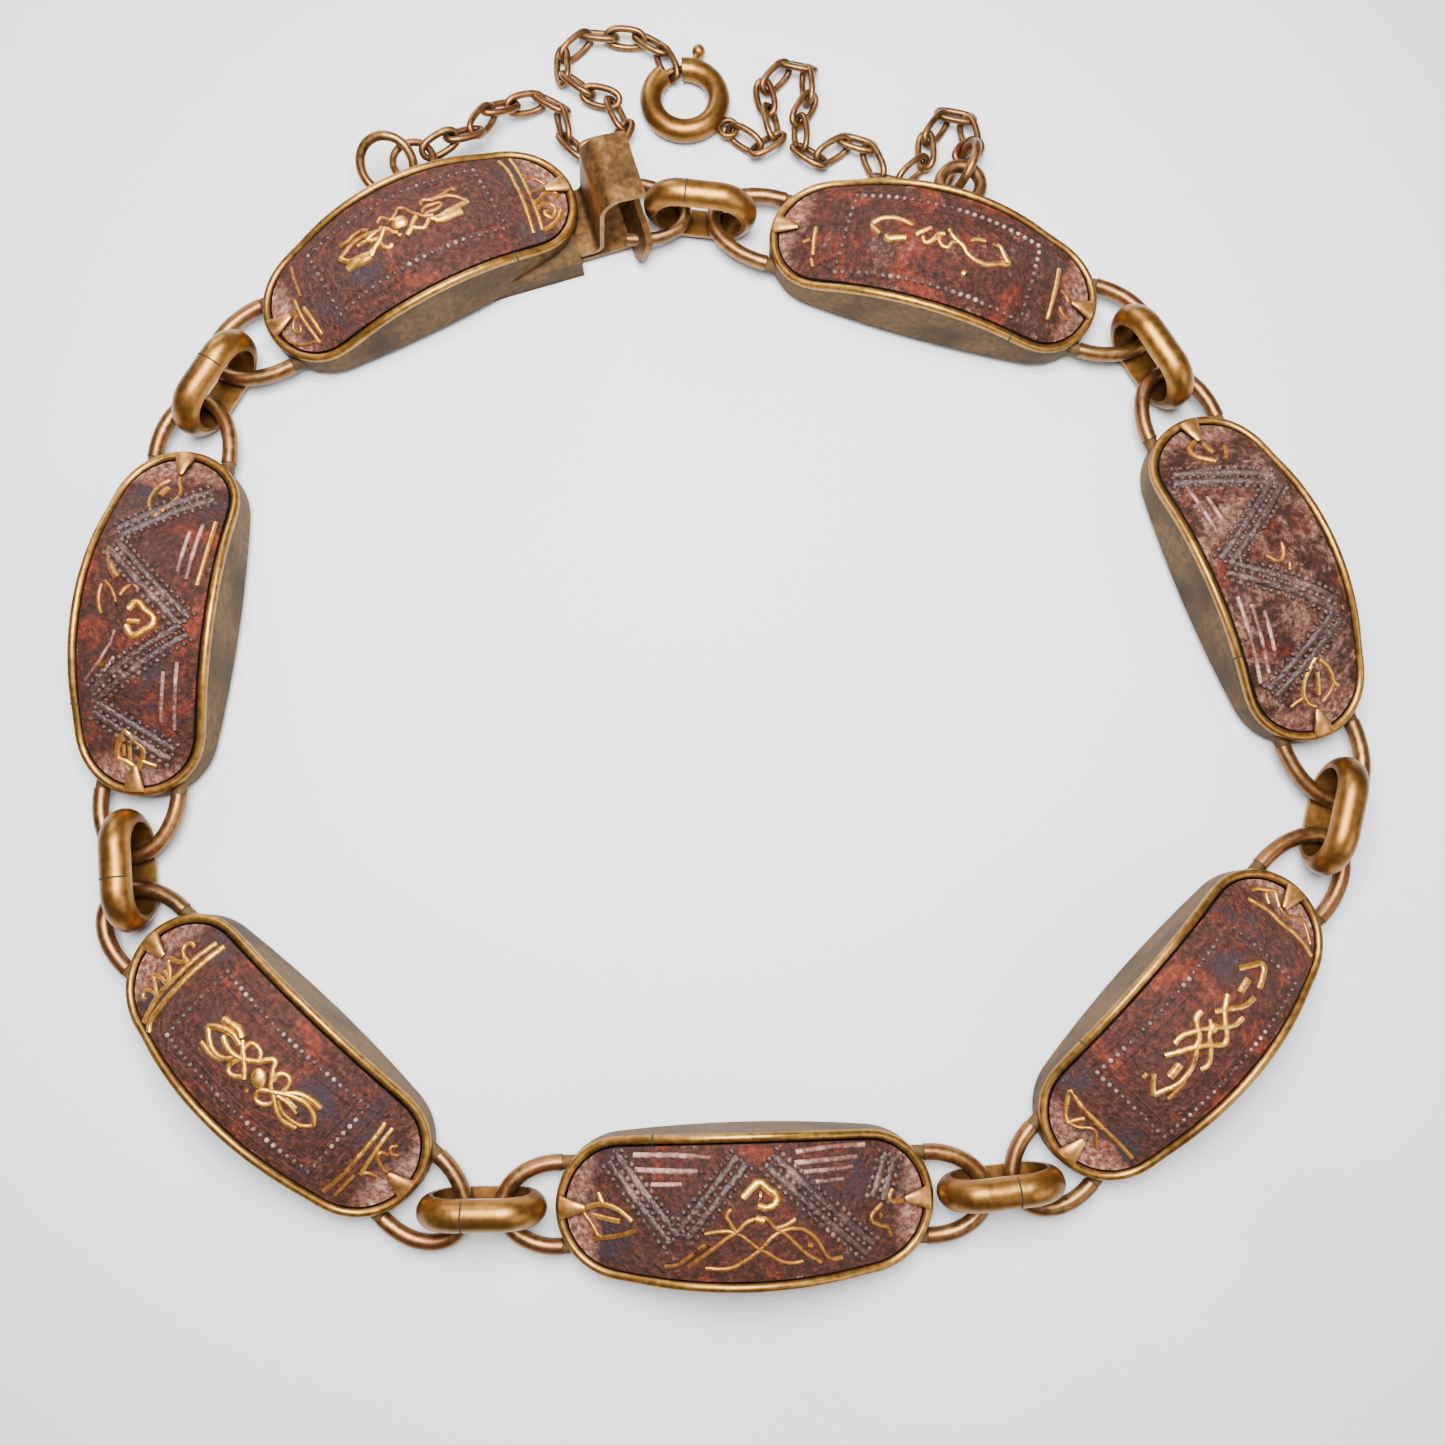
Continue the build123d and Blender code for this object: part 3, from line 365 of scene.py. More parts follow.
BARS = {
    3: [
        (0.13, 0.5, [(-5.2, -1.82), (-3.3, -1.85)]),
        (0.13, 0.5, [(-6.4, -2.4), (-2.8, -2.45)]),
        (0.13, 0.5, [(2.5, -1.85), (4.9, -1.85)]),
        (0.13, 0.5, [(1.9, -2.4), (6.0, -2.4)]),
        (0.13, 0.5, [(1.2, -2.95), (6.4, -2.95)]),
    ],
    5: [
        (0.16, 0.4, [(6.2, -2.95), (4.0, -3.05), (1.9, -2.95)]),
        (0.17, 0.4, [(6.1, -2.2), (2.6, -2.25)]),
        (0.13, 0.4, [(5.2, -1.5), (3.5, -1.6)]),
        (0.15, 0.4, [(-2.8, -3.1), (-4.8, -3.2), (-6.8, -3.1)]),
        (0.15, 0.4, [(-2.7, -2.55), (-6.3, -2.55)]),
        (0.14, 0.4, [(-3.1, -2.05), (-6.0, -2.05)]),
        (0.12, 0.4, [(-3.6, -1.5), (-5.4, -1.5)]),
    ],
    7: [
        (0.1, 0.4, [(-4.4, 2.9), (-3.2, 1.9), (-2.2, 1.3), (-1.5, 1.1)]),
        (0.1, 0.4, [(-4.3, 2.1), (-3.6, 1.4), (-3.0, 1.05)]),
        (0.13, 0.45, [(2.3, -1.85), (5.0, -1.85)]),
        (0.13, 0.45, [(1.9, -2.4), (5.6, -2.4)]),
        (0.13, 0.45, [(-6.8, -2.3), (-3.0, -2.5)]),
        (0.13, 0.45, [(-6.4, -1.6), (-3.6, -1.8)]),
    ],
}

# Chevron bands across three of the plaques, each arm a pair of raised cords with beads between
CHEVRONS = {
    3: [((-7.2, -2.7), (-4.9, 2.5)), ((-4.6, 2.5), (-1.0, -2.8)),
        ((-0.6, -2.8), (3.5, 2.5)), ((4.2, 2.5), (7.2, -2.4))],
    5: [((-8.3, -2.4), (-7.4, -0.2)), ((-6.8, 2.4), (-1.3, -2.8)),
        ((0.2, -2.8), (3.5, 1.0)), ((4.0, 1.3), (7.4, -2.7))],
    7: [((-8.2, -2.1), (-5.9, 2.3)), ((-5.2, 2.3), (-1.1, -2.7)),
        ((-0.6, -2.7), (3.7, 2.3)), ((4.6, 2.3), (7.8, -2.2))],
}

# A cord of a band: its radius, how much of it is sunk, how far apart the pair lies, how far out the
# outer beads run as a share of that, and the beads' radius and spacing
CORD_RADIUS = 0.26
CORD_SUNK = 0.45
CORD_APART = 0.62
CORD_BEADS_OUT = 2.2
CORD_BEAD = 0.17
CORD_BEAD_STEP = 0.44

# How flat a bead is, and how close the points of a line lie where it follows a dome
BEAD_HEIGHT = 0.85
FILLET_STEP = 0.8
CORD_STEP = 0.5

# Rows of punched beads: first and last bead, the spacing, and the size of a bead
BEADS = {
    1: [
        ((-6.2, -2.02), (5.2, -2.05), 0.52, 0.15),
        ((-6.2, 2.5), (5.4, 2.5), 0.52, 0.13),
        ((-6.2, 1.95), (-6.2, -1.6), 0.5, 0.14),
        ((5.42, 1.95), (5.42, -1.6), 0.5, 0.13),
    ],
    2: [
        ((-5.9, -2.85), (5.9, -2.78), 0.5, 0.17),
        ((-5.9, 2.42), (5.9, 2.42), 0.5, 0.15),
        ((-5.92, 1.95), (-5.92, -2.3), 0.5, 0.15),
        ((6.05, 1.95), (6.05, -2.3), 0.5, 0.15),
    ],
    4: [
        ((-5.8, 2.85), (5.8, 2.85), 0.45, 0.13),
        ((-5.8, -2.22), (5.8, -2.25), 0.48, 0.14),
        ((-5.75, 2.3), (-5.75, -1.8), 0.45, 0.13),
        ((5.85, 2.3), (5.85, -1.8), 0.45, 0.14),
    ],
    6: [
        ((-5.7, 2.45), (5.3, 2.45), 0.46, 0.15),
        ((-5.7, -2.25), (5.3, -2.25), 0.46, 0.14),
        ((-5.75, 1.95), (-5.75, -1.8), 0.45, 0.15),
        ((5.3, 1.95), (5.3, -1.8), 0.45, 0.14),
    ],
}

# How much pale crust, red rust and blue-grey scale each plaque shows, from 0 to 1
WEAR = {
    1: {"crust": 0.35, "rust": 0.35, "scale": 0.55, "grain": 0.5},
    2: {"crust": 0.5, "rust": 0.6, "scale": 0.35, "grain": 0.7},
    3: {"crust": 0.85, "rust": 0.55, "scale": 0.3, "grain": 1.0},
    4: {"crust": 0.35, "rust": 0.5, "scale": 0.55, "grain": 0.5},
    5: {"crust": 0.4, "rust": 0.4, "scale": 0.6, "grain": 0.6},
    6: {"crust": 0.3, "rust": 0.4, "scale": 0.6, "grain": 0.5},
    7: {"crust": 0.35, "rust": 0.6, "scale": 0.5, "grain": 0.7},
}

# The stage, in metres: half the floor's side, the lights' place, size and power, and the camera
FLOOR_HALF = 0.6
LIGHTS = {
    "key": ((-0.005, 0.01, 0.1), 0.06, 0.47),
    "fill": ((0.18, -0.12, 0.16), 0.16, 0.3),
    "back": ((-0.12, 0.24, 0.12), 0.14, 0.5),
}
ROOM_LIGHT = 0.21
CAMERA_SPOT = (-1.496, -19.585, 75.736)
CAMERA_TURN = 0.77
CAMERA_TILT = 8.96
CAMERA_LENS = 30.86
CAMERA_SENSOR = 36
CAMERA_NEAR = 0.002

# The colour output of a Mix node
MIXED = 2


def linear(code):
    """An sRGB hex colour as linear RGBA."""
    values = []
    for start in (1, 3, 5):
        share = int(code[start:start + 2], 16) / 255
        values.append(share / 12.92 if share <= 0.04045 else ((share + 0.055) / 1.055) ** 2.4)
    return (*values, 1.0)


def add(tree, kind, inputs=None, stops=None, **settings):
    """Adds a shader node with its settings, its socket values or links, and a ramp's coloured stops."""
    node = tree.nodes.new("ShaderNode" + kind)
    for name, value in settings.items():
        setattr(node, name, value)
    for socket, value in (inputs or {}).items():
        if isinstance(value, bpy.types.NodeSocket):
            tree.links.new(value, node.inputs[socket])
        else:
            node.inputs[socket].default_value = value
    for index, (place, colour) in enumerate(stops or []):
        elements = node.color_ramp.elements
        element = elements[index] if index < 2 else elements.new(place)
        element.position = place
        element.color = linear(colour) if isinstance(colour, str) else colour
    return node


def new_material(name):
    """An empty node material and its tree, with one Principled shader joined to its output."""
    material = bpy.data.materials.new(name)
    material.use_nodes = True
    tree = material.node_tree
    tree.nodes.clear()
    shader = add(tree, "BsdfPrincipled")
    add(tree, "OutputMaterial", {"Surface": shader.outputs[0]})
    return material, tree, shader


def bezel_frame(index):
    """Where a bezel's own frame lies, in metres."""
    row = BEZELS[index]
    spot = Vector((row["x"] * PITCH + SHIFT[0], row["y"] * PITCH + SHIFT[1], 0)) * MM
    return Matrix.Translation(spot) @ Matrix.Rotation(math.radians(row["turn"]), 4, "Z")


def rim_level(along):
    """Height of a bezel's arched rim above the surface, in millimetres."""
    drop = RIM_HEIGHT - RIM_END_HEIGHT
    slope = 2 * math.atan2(drop, HALF_LENGTH)
    crown_x = RIM_CROWN * HALF_LENGTH
    crown_r = crown_x / math.sin(slope)
    foot_r = (HALF_LENGTH - crown_x) / math.sin(slope)
    along = min(abs(along), HALF_LENGTH)
    if along < crown_x:
        fall = crown_r - math.sqrt(crown_r ** 2 - along ** 2)
    else:
        fall = drop - foot_r + math.sqrt(foot_r ** 2 - (HALF_LENGTH - along) ** 2)
    return BASE + RIM_HEIGHT - fall


def oval_line(inset, count):
    """Points round the bezel's plan, drawn in by an inset, in millimetres."""
    a = HALF_LENGTH - inset
    b = HALF_WIDTH - inset
    end_r = END_RADIUS - inset
    end_x = a - end_r
    side_r = (end_x ** 2 + b ** 2 - end_r ** 2) / (2 * (b - end_r))
    side_y = b - side_r
    join = math.atan2(-side_y, end_x)
    points = []
    for step in range(count):
        turn = 2 * math.pi * step / count
        across = math.atan2(math.sin(turn) * b, math.cos(turn) * a)
        quarter = math.atan2(abs(math.sin(across)), abs(math.cos(across)))
        line = Vector((math.cos(quarter), math.sin(quarter)))
        # The ray from the middle meets the end arc or the side arc
        ahead = line.x * end_x
        reach = ahead + math.sqrt(max(ahead ** 2 - end_x ** 2 + end_r ** 2, 0))
        meet = math.atan2(reach * line.y, reach * line.x - end_x)
        if meet > join:
            ahead = line.y * side_y
            reach = ahead + math.sqrt(ahead ** 2 - side_y ** 2 + side_r ** 2)
        x = math.copysign(reach * line.x, math.cos(across))
        y = math.copysign(reach * line.y, math.sin(across))
        points.append((x, y))
    return points


def keep_piece(name, mesh, body, material):
    """A finished piece from a mesh, riding on a body of the solids."""
    mesh.name = name
    mesh.materials.clear()
    mesh.materials.append(material)
    for face in mesh.polygons:
        face.use_smooth = True
    piece = bpy.data.objects.new(name, mesh)
    bpy.context.scene.collection.objects.link(piece)
    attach(piece, body)
    return piece


def wire_mesh(runs, smooth=True, closed=False, sides=2):
    """Round wires as one mesh. Each run is a radius in millimetres and points in metres."""
    curve = bpy.data.curves.new("wire", "CURVE")
    curve.dimensions = "3D"
    curve.bevel_depth = MM
    curve.bevel_resolution = sides
    curve.use_fill_caps = True
    for radius, places in runs:
        spline = curve.splines.new("BEZIER" if smooth else "POLY")
        points = spline.bezier_points if smooth else spline.points
        points.add(len(places) - 1)
        for point, place in zip(points, places):
            point.co = place if smooth else (*place, 1)
            point.radius = radius
            if smooth:
                point.handle_left_type = "AUTO"
                point.handle_right_type = "AUTO"
        spline.use_cyclic_u = closed
        spline.resolution_u = 5
    holder = bpy.data.objects.new("wire", curve)
    bpy.context.scene.collection.objects.link(holder)
    graph = bpy.context.evaluated_depsgraph_get()
    mesh = bpy.data.meshes.new_from_object(holder.evaluated_get(graph))
    bpy.data.objects.remove(holder)
    bpy.data.curves.remove(curve)
    return mesh


class Surface:
    """The top of one solid, for setting things on it."""

    def __init__(self, node, place):
        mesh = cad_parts[node].data
        corners = [vertex.co.copy() for vertex in mesh.vertices]
        self.tree = BVHTree.FromPolygons(corners, [list(face.vertices) for face in mesh.polygons])
        self.place = place

    def spot(self, along, out, lift):
        """The point of the surface at a place in the plaque's own frame, lifted along its normal."""
        hit = None
        inward = 1.0
        while hit is None:
            if inward < 0.8:
                raise RuntimeError("nothing under %.2f, %.2f of the solid" % (along, out))
            above = self.place @ Vector((along * MM, inward * out * MM, 20 * MM))
            hit, normal, _, _ = self.tree.ray_cast(above, Vector((0, 0, -1)))
            inward -= 0.01
        if normal.z < 0:
            normal = -normal
        return hit + normal * (lift * MM), normal


def loose_parts(mesh):
    """The corners of each separate solid in a mesh, as arrays."""
    bm = bmesh.new()
    bm.from_mesh(mesh)
    bmesh.ops.remove_doubles(bm, verts=bm.verts, dist=0.002 * MM)
    left = set(bm.verts)
    parts = []
    for start in bm.verts:
        if start not in left:
            continue
        left.remove(start)
        reached = [start]
        for vertex in reached:
            for edge in vertex.link_edges:
                other = edge.other_vert(vertex)
                if other in left:
                    left.remove(other)
                    reached.append(other)
        parts.append(np.array([vertex.co for vertex in reached]))
    bm.free()
    return parts


def divided(points, step):
    """A line of points with more between them, no further apart than a step."""
    line = [points[0]]
    for start, end in zip(points, points[1:]):
        count = max(1, math.ceil(math.dist(start, end) / step))
        for index in range(1, count + 1):
            share = index / count
            line.append(tuple(low + (high - low) * share for low, high in zip(start, end)))
    return line


def brass_material(name, body, light, tarnish, rough, tarnish_share, copper=None, metallic=0.92,
                   shine=0.5):
    """Old hand-worked brass: rubbed bright where it is touched, with painted shade darkening the hollows,
    finely scratched.
    """
    material, tree, shader = new_material(name)
    coords = add(tree, "TexCoord").outputs["Object"]
    # Patches of tarnish 3 mm across, mottling of 0.4 mm, and file marks 0.15 mm apart
    patches = add(tree, "TexNoise", {"Vector": coords, "Scale": 300.0, "Detail": 1.0, "Roughness": 0.4})
    mottle = add(tree, "TexNoise", {"Vector": coords, "Scale": 2300.0, "Detail": 2.0, "Roughness": 0.5})
    marks = add(tree, "Mapping", {"Vector": coords, "Scale": (900.0, 7000.0, 2500.0),
                                  "Rotation": (0.3, 0.2, 0.6)})
    scratch = add(tree, "TexNoise", {"Vector": marks.outputs[0], "Scale": 1.0, "Detail": 2.0})
    tone = add(tree, "ValToRGB", {"Fac": mottle.outputs["Fac"]}, stops=[(0.3, body), (0.7, light)])
    low = 0.62 - 0.4 * tarnish_share
    spread = add(tree, "ValToRGB", {"Fac": patches.outputs["Fac"]},
                 stops=[(low, "#000000"), (low + 0.4, "#ffffff")])
    colour = add(tree, "Mix", {0: spread.outputs["Color"], 6: tone.outputs["Color"], 7: linear(tarnish)},
                 data_type="RGBA").outputs[MIXED]
    if copper:
        # Blushes of copper 1.4 mm across, where the zinc has gone from the surface
        warm = add(tree, "TexNoise", {"Vector": coords, "Scale": 700.0, "Detail": 4.0})
        warmth = add(tree, "ValToRGB", {"Fac": warm.outputs["Fac"]},
                     stops=[(0.42, "#000000"), (0.62, "#ffffff")])
        colour = add(tree, "Mix", {0: warmth.outputs["Color"], 6: colour, 7: linear(copper)},
                     data_type="RGBA").outputs[MIXED]
    # Painted shade darkening the corners, from ambient occlusion 0.9 mm deep at most
    hollow = add(tree, "AmbientOcclusion", {"Distance": 0.0009}, samples=6)
    painted_shade = add(tree, "ValToRGB", {"Fac": hollow.outputs["AO"]},
                stops=[(0.25, "#ffffff"), (0.8, "#000000")])
    colour = add(tree, "Mix", {0: painted_shade.outputs["Color"], 6: colour, 7: linear("#2A1A10")},
                 data_type="RGBA").outputs[MIXED]
    sheen = add(tree, "MapRange", {"Value": mottle.outputs["Fac"], "From Min": 0.3, "From Max": 0.7,
                                   "To Min": rough - 0.02, "To Max": rough + 0.05})
    # The painted shade mask also roughens the brass
    dull = add(tree, "Math", {0: painted_shade.outputs["Color"], 1: 0.3}, operation="MULTIPLY")
    gloss = add(tree, "Math", {0: sheen.outputs[0], 1: dull.outputs[0]}, operation="ADD")
    dents = add(tree, "Bump", {"Height": patches.outputs["Fac"], "Strength": 0.35, "Distance": 0.0003})
    grain = add(tree, "Bump", {"Height": mottle.outputs["Fac"], "Strength": 0.2, "Distance": 0.00005,
                               "Normal": dents.outputs[0]})
    file = add(tree, "Bump", {"Height": scratch.outputs["Fac"], "Strength": 0.15, "Distance": 0.00002,
                              "Normal": grain.outputs[0]})
    tree.links.new(colour, shader.inputs["Base Color"])
    tree.links.new(gloss.outputs[0], shader.inputs["Roughness"])
    tree.links.new(file.outputs[0], shader.inputs["Normal"])
    shader.inputs["Metallic"].default_value = metallic
    shader.inputs["Specular IOR Level"].default_value = shine
    return material


def worn_steel_material(name, low, high, bright, bare_low):
    """Steel raised by the punch: dark in the rust, and rubbed to bare metal on its high spots."""
    material, tree, shader = new_material(name)
    coords = add(tree, "TexCoord").outputs["Object"]
    # Rubbed places 2.4 mm across, and grain of 0.3 mm
    bare = add(tree, "TexNoise", {"Vector": coords, "Scale": 420.0, "Detail": 3.0, "Roughness": 0.6})
    grain = add(tree, "TexNoise", {"Vector": coords, "Scale": 3000.0, "Detail": 3.0})
    dark = add(tree, "ValToRGB", {"Fac": grain.outputs["Fac"]}, stops=[(0.3, low), (0.7, high)])
    share = add(tree, "ValToRGB", {"Fac": bare.outputs["Fac"]},
                stops=[(bare_low, "#000000"), (bare_low + 0.12, "#ffffff")])
    colour = add(tree, "Mix", {0: share.outputs["Color"], 6: dark.outputs["Color"], 7: linear(bright)},
                 data_type="RGBA").outputs[MIXED]
    bump = add(tree, "Bump", {"Height": grain.outputs["Fac"], "Strength": 0.8, "Distance": 0.0003})
    tree.links.new(colour, shader.inputs["Base Color"])
    tree.links.new(bump.outputs[0], shader.inputs["Normal"])
    shader.inputs["Metallic"].default_value = 0.15
    shader.inputs["Roughness"].default_value = 0.45
    return material


def gold_material(name, body, light, rough, metallic):
    """Gold overlaid on steel: hammered, so it breaks the light, with brown where it has worn through."""
    material, tree, shader = new_material(name)
    coords = add(tree, "TexCoord").outputs["Object"]
    # Hammer marks of 0.3 mm, and worn-through spots 0.7 mm across
    mottle = add(tree, "TexNoise", {"Vector": coords, "Scale": 3200.0, "Detail": 4.0, "Roughness": 0.6})
    worn = add(tree, "TexNoise", {"Vector": coords, "Scale": 1500.0, "Detail": 3.0, "Roughness": 0.6})
    tone = add(tree, "ValToRGB", {"Fac": mottle.outputs["Fac"]}, stops=[(0.32, body), (0.62, light)])
    bare = add(tree, "ValToRGB", {"Fac": worn.outputs["Fac"]}, stops=[(0.6, "#000000"), (0.75, "#ffffff")])
    colour = add(tree, "Mix", {0: bare.outputs["Color"], 6: tone.outputs["Color"], 7: linear("#6B4A38")},
                 data_type="RGBA").outputs[MIXED]
    bump = add(tree, "Bump", {"Height": mottle.outputs["Fac"], "Strength": 0.5, "Distance": 0.00008})
    tree.links.new(colour, shader.inputs["Base Color"])
    tree.links.new(bump.outputs[0], shader.inputs["Normal"])
    shader.inputs["Metallic"].default_value = metallic
    shader.inputs["Roughness"].default_value = rough
    return material


def plaque_material(index):
    """Old blued steel, long rusted: purple-brown and blue-grey scale, red rust, pale pitted crust."""
    wear = WEAR[index]
    material, tree, shader = new_material("rusted_steel_%d" % index)
    coords = add(tree, "TexCoord").outputs["Object"]
    centre = bezel_frame(index).translation
    own = add(tree, "Mapping", {"Vector": coords, "Location": centre,
                                "Rotation": (0, 0, math.radians(BEZELS[index]["turn"]))},
              vector_type="TEXTURE").outputs[0]
    # Rust blooms 2.6 mm across, scale patches of 4 mm, crust of 2 mm, grain of 0.3 mm, pits of 0.4 mm
    bloom = add(tree, "TexNoise", {"Vector": own, "Scale": 380.0, "Detail": 6.0, "Roughness": 0.65,
                                   "Distortion": 0.4})
    scale = add(tree, "TexNoise", {"Vector": own, "Scale": 260.0, "Detail": 5.0, "Roughness": 0.6})
    crust = add(tree, "TexNoise", {"Vector": own, "Scale": 520.0, "Detail": 8.0, "Roughness": 0.78})
    grain = add(tree, "TexNoise", {"Vector": own, "Scale": 3000.0, "Detail": 4.0, "Roughness": 0.7})
    pits = add(tree, "TexVoronoi", {"Vector": own, "Scale": 2600.0})
    rust_low = 0.68 - 0.28 * wear["rust"]
    scale_low = 0.66 - 0.26 * wear["scale"]
    crust_low = 0.7 - 0.28 * wear["crust"]
    base = add(tree, "ValToRGB", {"Fac": grain.outputs["Fac"]},
               stops=[(0.3, "#1C0C08"), (0.5, "#3C1C14"), (0.8, "#6E382A")])
    scaled = add(tree, "ValToRGB", {"Fac": scale.outputs["Fac"]},
                 stops=[(scale_low, "#000000"), (scale_low + 0.12, "#ffffff")])
    colour = add(tree, "Mix", {0: scaled.outputs["Color"], 6: base.outputs["Color"], 7: linear("#2E2226")},
                 data_type="RGBA").outputs[MIXED]
    rusted = add(tree, "ValToRGB", {"Fac": bloom.outputs["Fac"]},
                 stops=[(rust_low, "#000000"), (rust_low + 0.1, "#ffffff")])
    rust = add(tree, "ValToRGB", {"Fac": grain.outputs["Fac"]},
               stops=[(0.3, "#40140A"), (0.5, "#6A2614"), (0.8, "#96492E")])
    colour = add(tree, "Mix", {0: rusted.outputs["Color"], 6: colour, 7: rust.outputs["Color"]},
                 data_type="RGBA").outputs[MIXED]
    crusted = add(tree, "ValToRGB", {"Fac": crust.outputs["Fac"]},
                  stops=[(crust_low, "#000000"), (crust_low + 0.12, "#ffffff")])
    pale = add(tree, "ValToRGB", {"Fac": grain.outputs["Fac"]},
               stops=[(0.3, "#3C2018"), (0.48, "#7E5040"), (0.72, "#CC9A84")])
    colour = add(tree, "Mix", {0: crusted.outputs["Color"], 6: colour, 7: pale.outputs["Color"]},
                 data_type="RGBA").outputs[MIXED]
    # Pale crust gathers in the ends of the bezel
    parts = add(tree, "SeparateXYZ", {0: own})
    far = add(tree, "Math", {0: parts.outputs[0]}, operation="ABSOLUTE")
    ragged = add(tree, "Math", {0: bloom.outputs["Fac"], 1: 0.004, 2: far.outputs[0]},
                 operation="MULTIPLY_ADD")
    ends = add(tree, "MapRange", {"Value": ragged.outputs[0], "From Min": 0.0102, "From Max": 0.0118})
    colour = add(tree, "Mix", {0: ends.outputs[0], 6: colour, 7: pale.outputs["Color"]},
                 data_type="RGBA").outputs[MIXED]
    dimple = add(tree, "ValToRGB", {"Fac": pits.outputs["Distance"]},
                 stops=[(0.1, "#000000"), (0.4, "#ffffff")])
    # Painted shade darkening the hollows, from ambient occlusion 0.7 mm deep at most
    hollow = add(tree, "AmbientOcclusion", {"Distance": 0.0007}, samples=6)
    painted_shade = add(tree, "ValToRGB", {"Fac": hollow.outputs["AO"]},
                stops=[(0.2, "#ffffff"), (0.75, "#000000")])
    colour = add(tree, "Mix", {0: painted_shade.outputs["Color"], 6: colour, 7: linear("#160C0A")},
                 data_type="RGBA").outputs[MIXED]
    rough = add(tree, "MapRange", {"Value": crust.outputs["Fac"], "From Min": 0.35, "From Max": 0.65,
                                   "To Min": 0.38, "To Max": 0.75})
    roughened = 0.9 * wear["grain"]
    swell = add(tree, "Bump", {"Height": crust.outputs["Fac"], "Strength": roughened, "Distance": 0.0011})
    gritty = add(tree, "Bump", {"Height": grain.outputs["Fac"], "Strength": roughened, "Distance": 0.00045,
                                "Normal": swell.outputs[0]})
    pitted = add(tree, "Bump", {"Height": dimple.outputs["Color"], "Strength": 0.5, "Distance": 0.00008,
                                "Normal": gritty.outputs[0]})
    tree.links.new(colour, shader.inputs["Base Color"])
    tree.links.new(rough.outputs[0], shader.inputs["Roughness"])
    tree.links.new(pitted.outputs[0], shader.inputs["Normal"])
    shader.inputs["Metallic"].default_value = 0.12
    shader.inputs["Specular IOR Level"].default_value = 0.3
    return material


class BraceletFinishes(PropertyGroup):
    """The metals' body colours"""

    bezel: FloatVectorProperty(name="Bezel brass", description="Body colour of the bezel walls",
                               default=linear("#402E18"), size=4, min=0, max=1, subtype="COLOR")
    rim: FloatVectorProperty(name="Rim brass", description="Rubbed colour of the bezel rims",
                             default=linear("#7E5828"), size=4, min=0, max=1, subtype="COLOR")
    ring: FloatVectorProperty(name="Ring brass", description="Body colour of the connector rings",
                              default=linear("#7A5424"), size=4, min=0, max=1, subtype="COLOR")
    chain: FloatVectorProperty(name="Chain brass", description="Body colour of the chain and loops",
                               default=linear("#644428"), size=4, min=0, max=1, subtype="COLOR")
    gold: FloatVectorProperty(name="Gold", description="Deeper colour of the bright inlay",
                              default=linear("#C08228"), size=4, min=0, max=1, subtype="COLOR")


class BraceletSizes(PropertyGroup):
    """The radii of what is drawn over the solids"""

    lip: FloatProperty(name="Rim lip", description="Radius of the rounded lip along each rim",
                       default=0.27 * MM, min=0, unit="LENGTH", precision=5)
    loop: FloatProperty(name="Loop wire", description="Radius of the end loops' wire",
                        default=0.48 * MM, min=0, unit="LENGTH", precision=5)
    chain: FloatProperty(name="Chain wire", description="Radius of the chain links' wire",
                         default=0.225 * MM, min=0, unit="LENGTH", precision=5)
    seam: FloatProperty(name="Seam", description="Radius of a joint line in the sheet",
                        default=0.05 * MM, min=0, unit="LENGTH", precision=5)


class BRACELET_OT_metals(Operator):
    """Gives every solid of the bracelet its metal"""

    bl_idname = "bracelet.metals"
    bl_label = "Metals"

    def execute(self, context):
        finishes = context.scene.bracelet_finishes
        # Sheet brass with a dull brown skin of tarnish, so that it hardly mirrors the room
        walls = brass_material("wall_brass", finishes.bezel, light="#60482A", tarnish="#261A0E",
                               rough=0.62, tarnish_share=0.5, metallic=0.15, shine=0.12)
        # Bent half-round brass, handled smooth: a soft wide gleam along its crown
        rings = brass_material("cast_brass", finishes.ring, light="#94662F", tarnish="#5A3C1C",
                               rough=0.36, tarnish_share=0.35)
        # Drawn wire, browner than the rings, with blushes of copper
        chains = brass_material("wire_brass", finishes.chain, light="#98703F", tarnish="#36241A",
                                rough=0.36, tarnish_share=0.4, copper="#7A4E30")
        # Folded sheet rubbed to a brown satin by the thumb
        satin = brass_material("satin_brass", "#604226", light="#8E683C", tarnish="#3A281A",
                               rough=0.4, tarnish_share=0.35)
        # Edges and tips that catch on everything, so they show the brightest brass
        brass_material("rubbed_brass", finishes.rim, light="#AC7C3A", tarnish="#6A4A26",
                       rough=0.36, tarnish_share=0.2)
        brass_material("claw_brass", "#A06C30", light="#D09A58", tarnish="#6E5030",
                       rough=0.38, tarnish_share=0.15)
        # Punched beads with bare grey tops, ridges paler than the ground, and cords darker than it
        worn_steel_material("bead_steel", "#2A1A18", "#5A403A", bright="#A08880", bare_low=0.52)
        worn_steel_material("ridge_steel", "#4C2C26", "#7A4E44", bright="#AC8074", bare_low=0.48)
        worn_steel_material("cord_steel", "#281917", "#4A322C", bright="#6E5048", bare_low=0.57)
        # Dirt packed in the joint lines, a flat dark brown hairline
        _, _, shader = new_material("packed_dirt")
        shader.inputs["Base Color"].default_value = linear("#1C120C")
        shader.inputs["Roughness"].default_value = 0.8
        # Hammered gold that still glitters, and gold worn thin over the brown steel
        gold_material("gold_inlay", finishes.gold, light="#FAC058", rough=0.36, metallic=0.95)
        gold_material("worn_gold", "#744A1E", light="#B27A34", rough=0.42, metallic=0.8)
        for name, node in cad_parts.items():
            if name.startswith("bezel"):
                material = walls
            elif name.startswith("plaque"):
                material = plaque_material(int(name[-1]))
            elif name.startswith("clasp"):
                material = satin
            elif name.startswith(("connector", "spring", "ring")):
                material = rings
            else:
                material = chains
            node.data.materials.clear()
            node.data.materials.append(material)
        return {"FINISHED"}


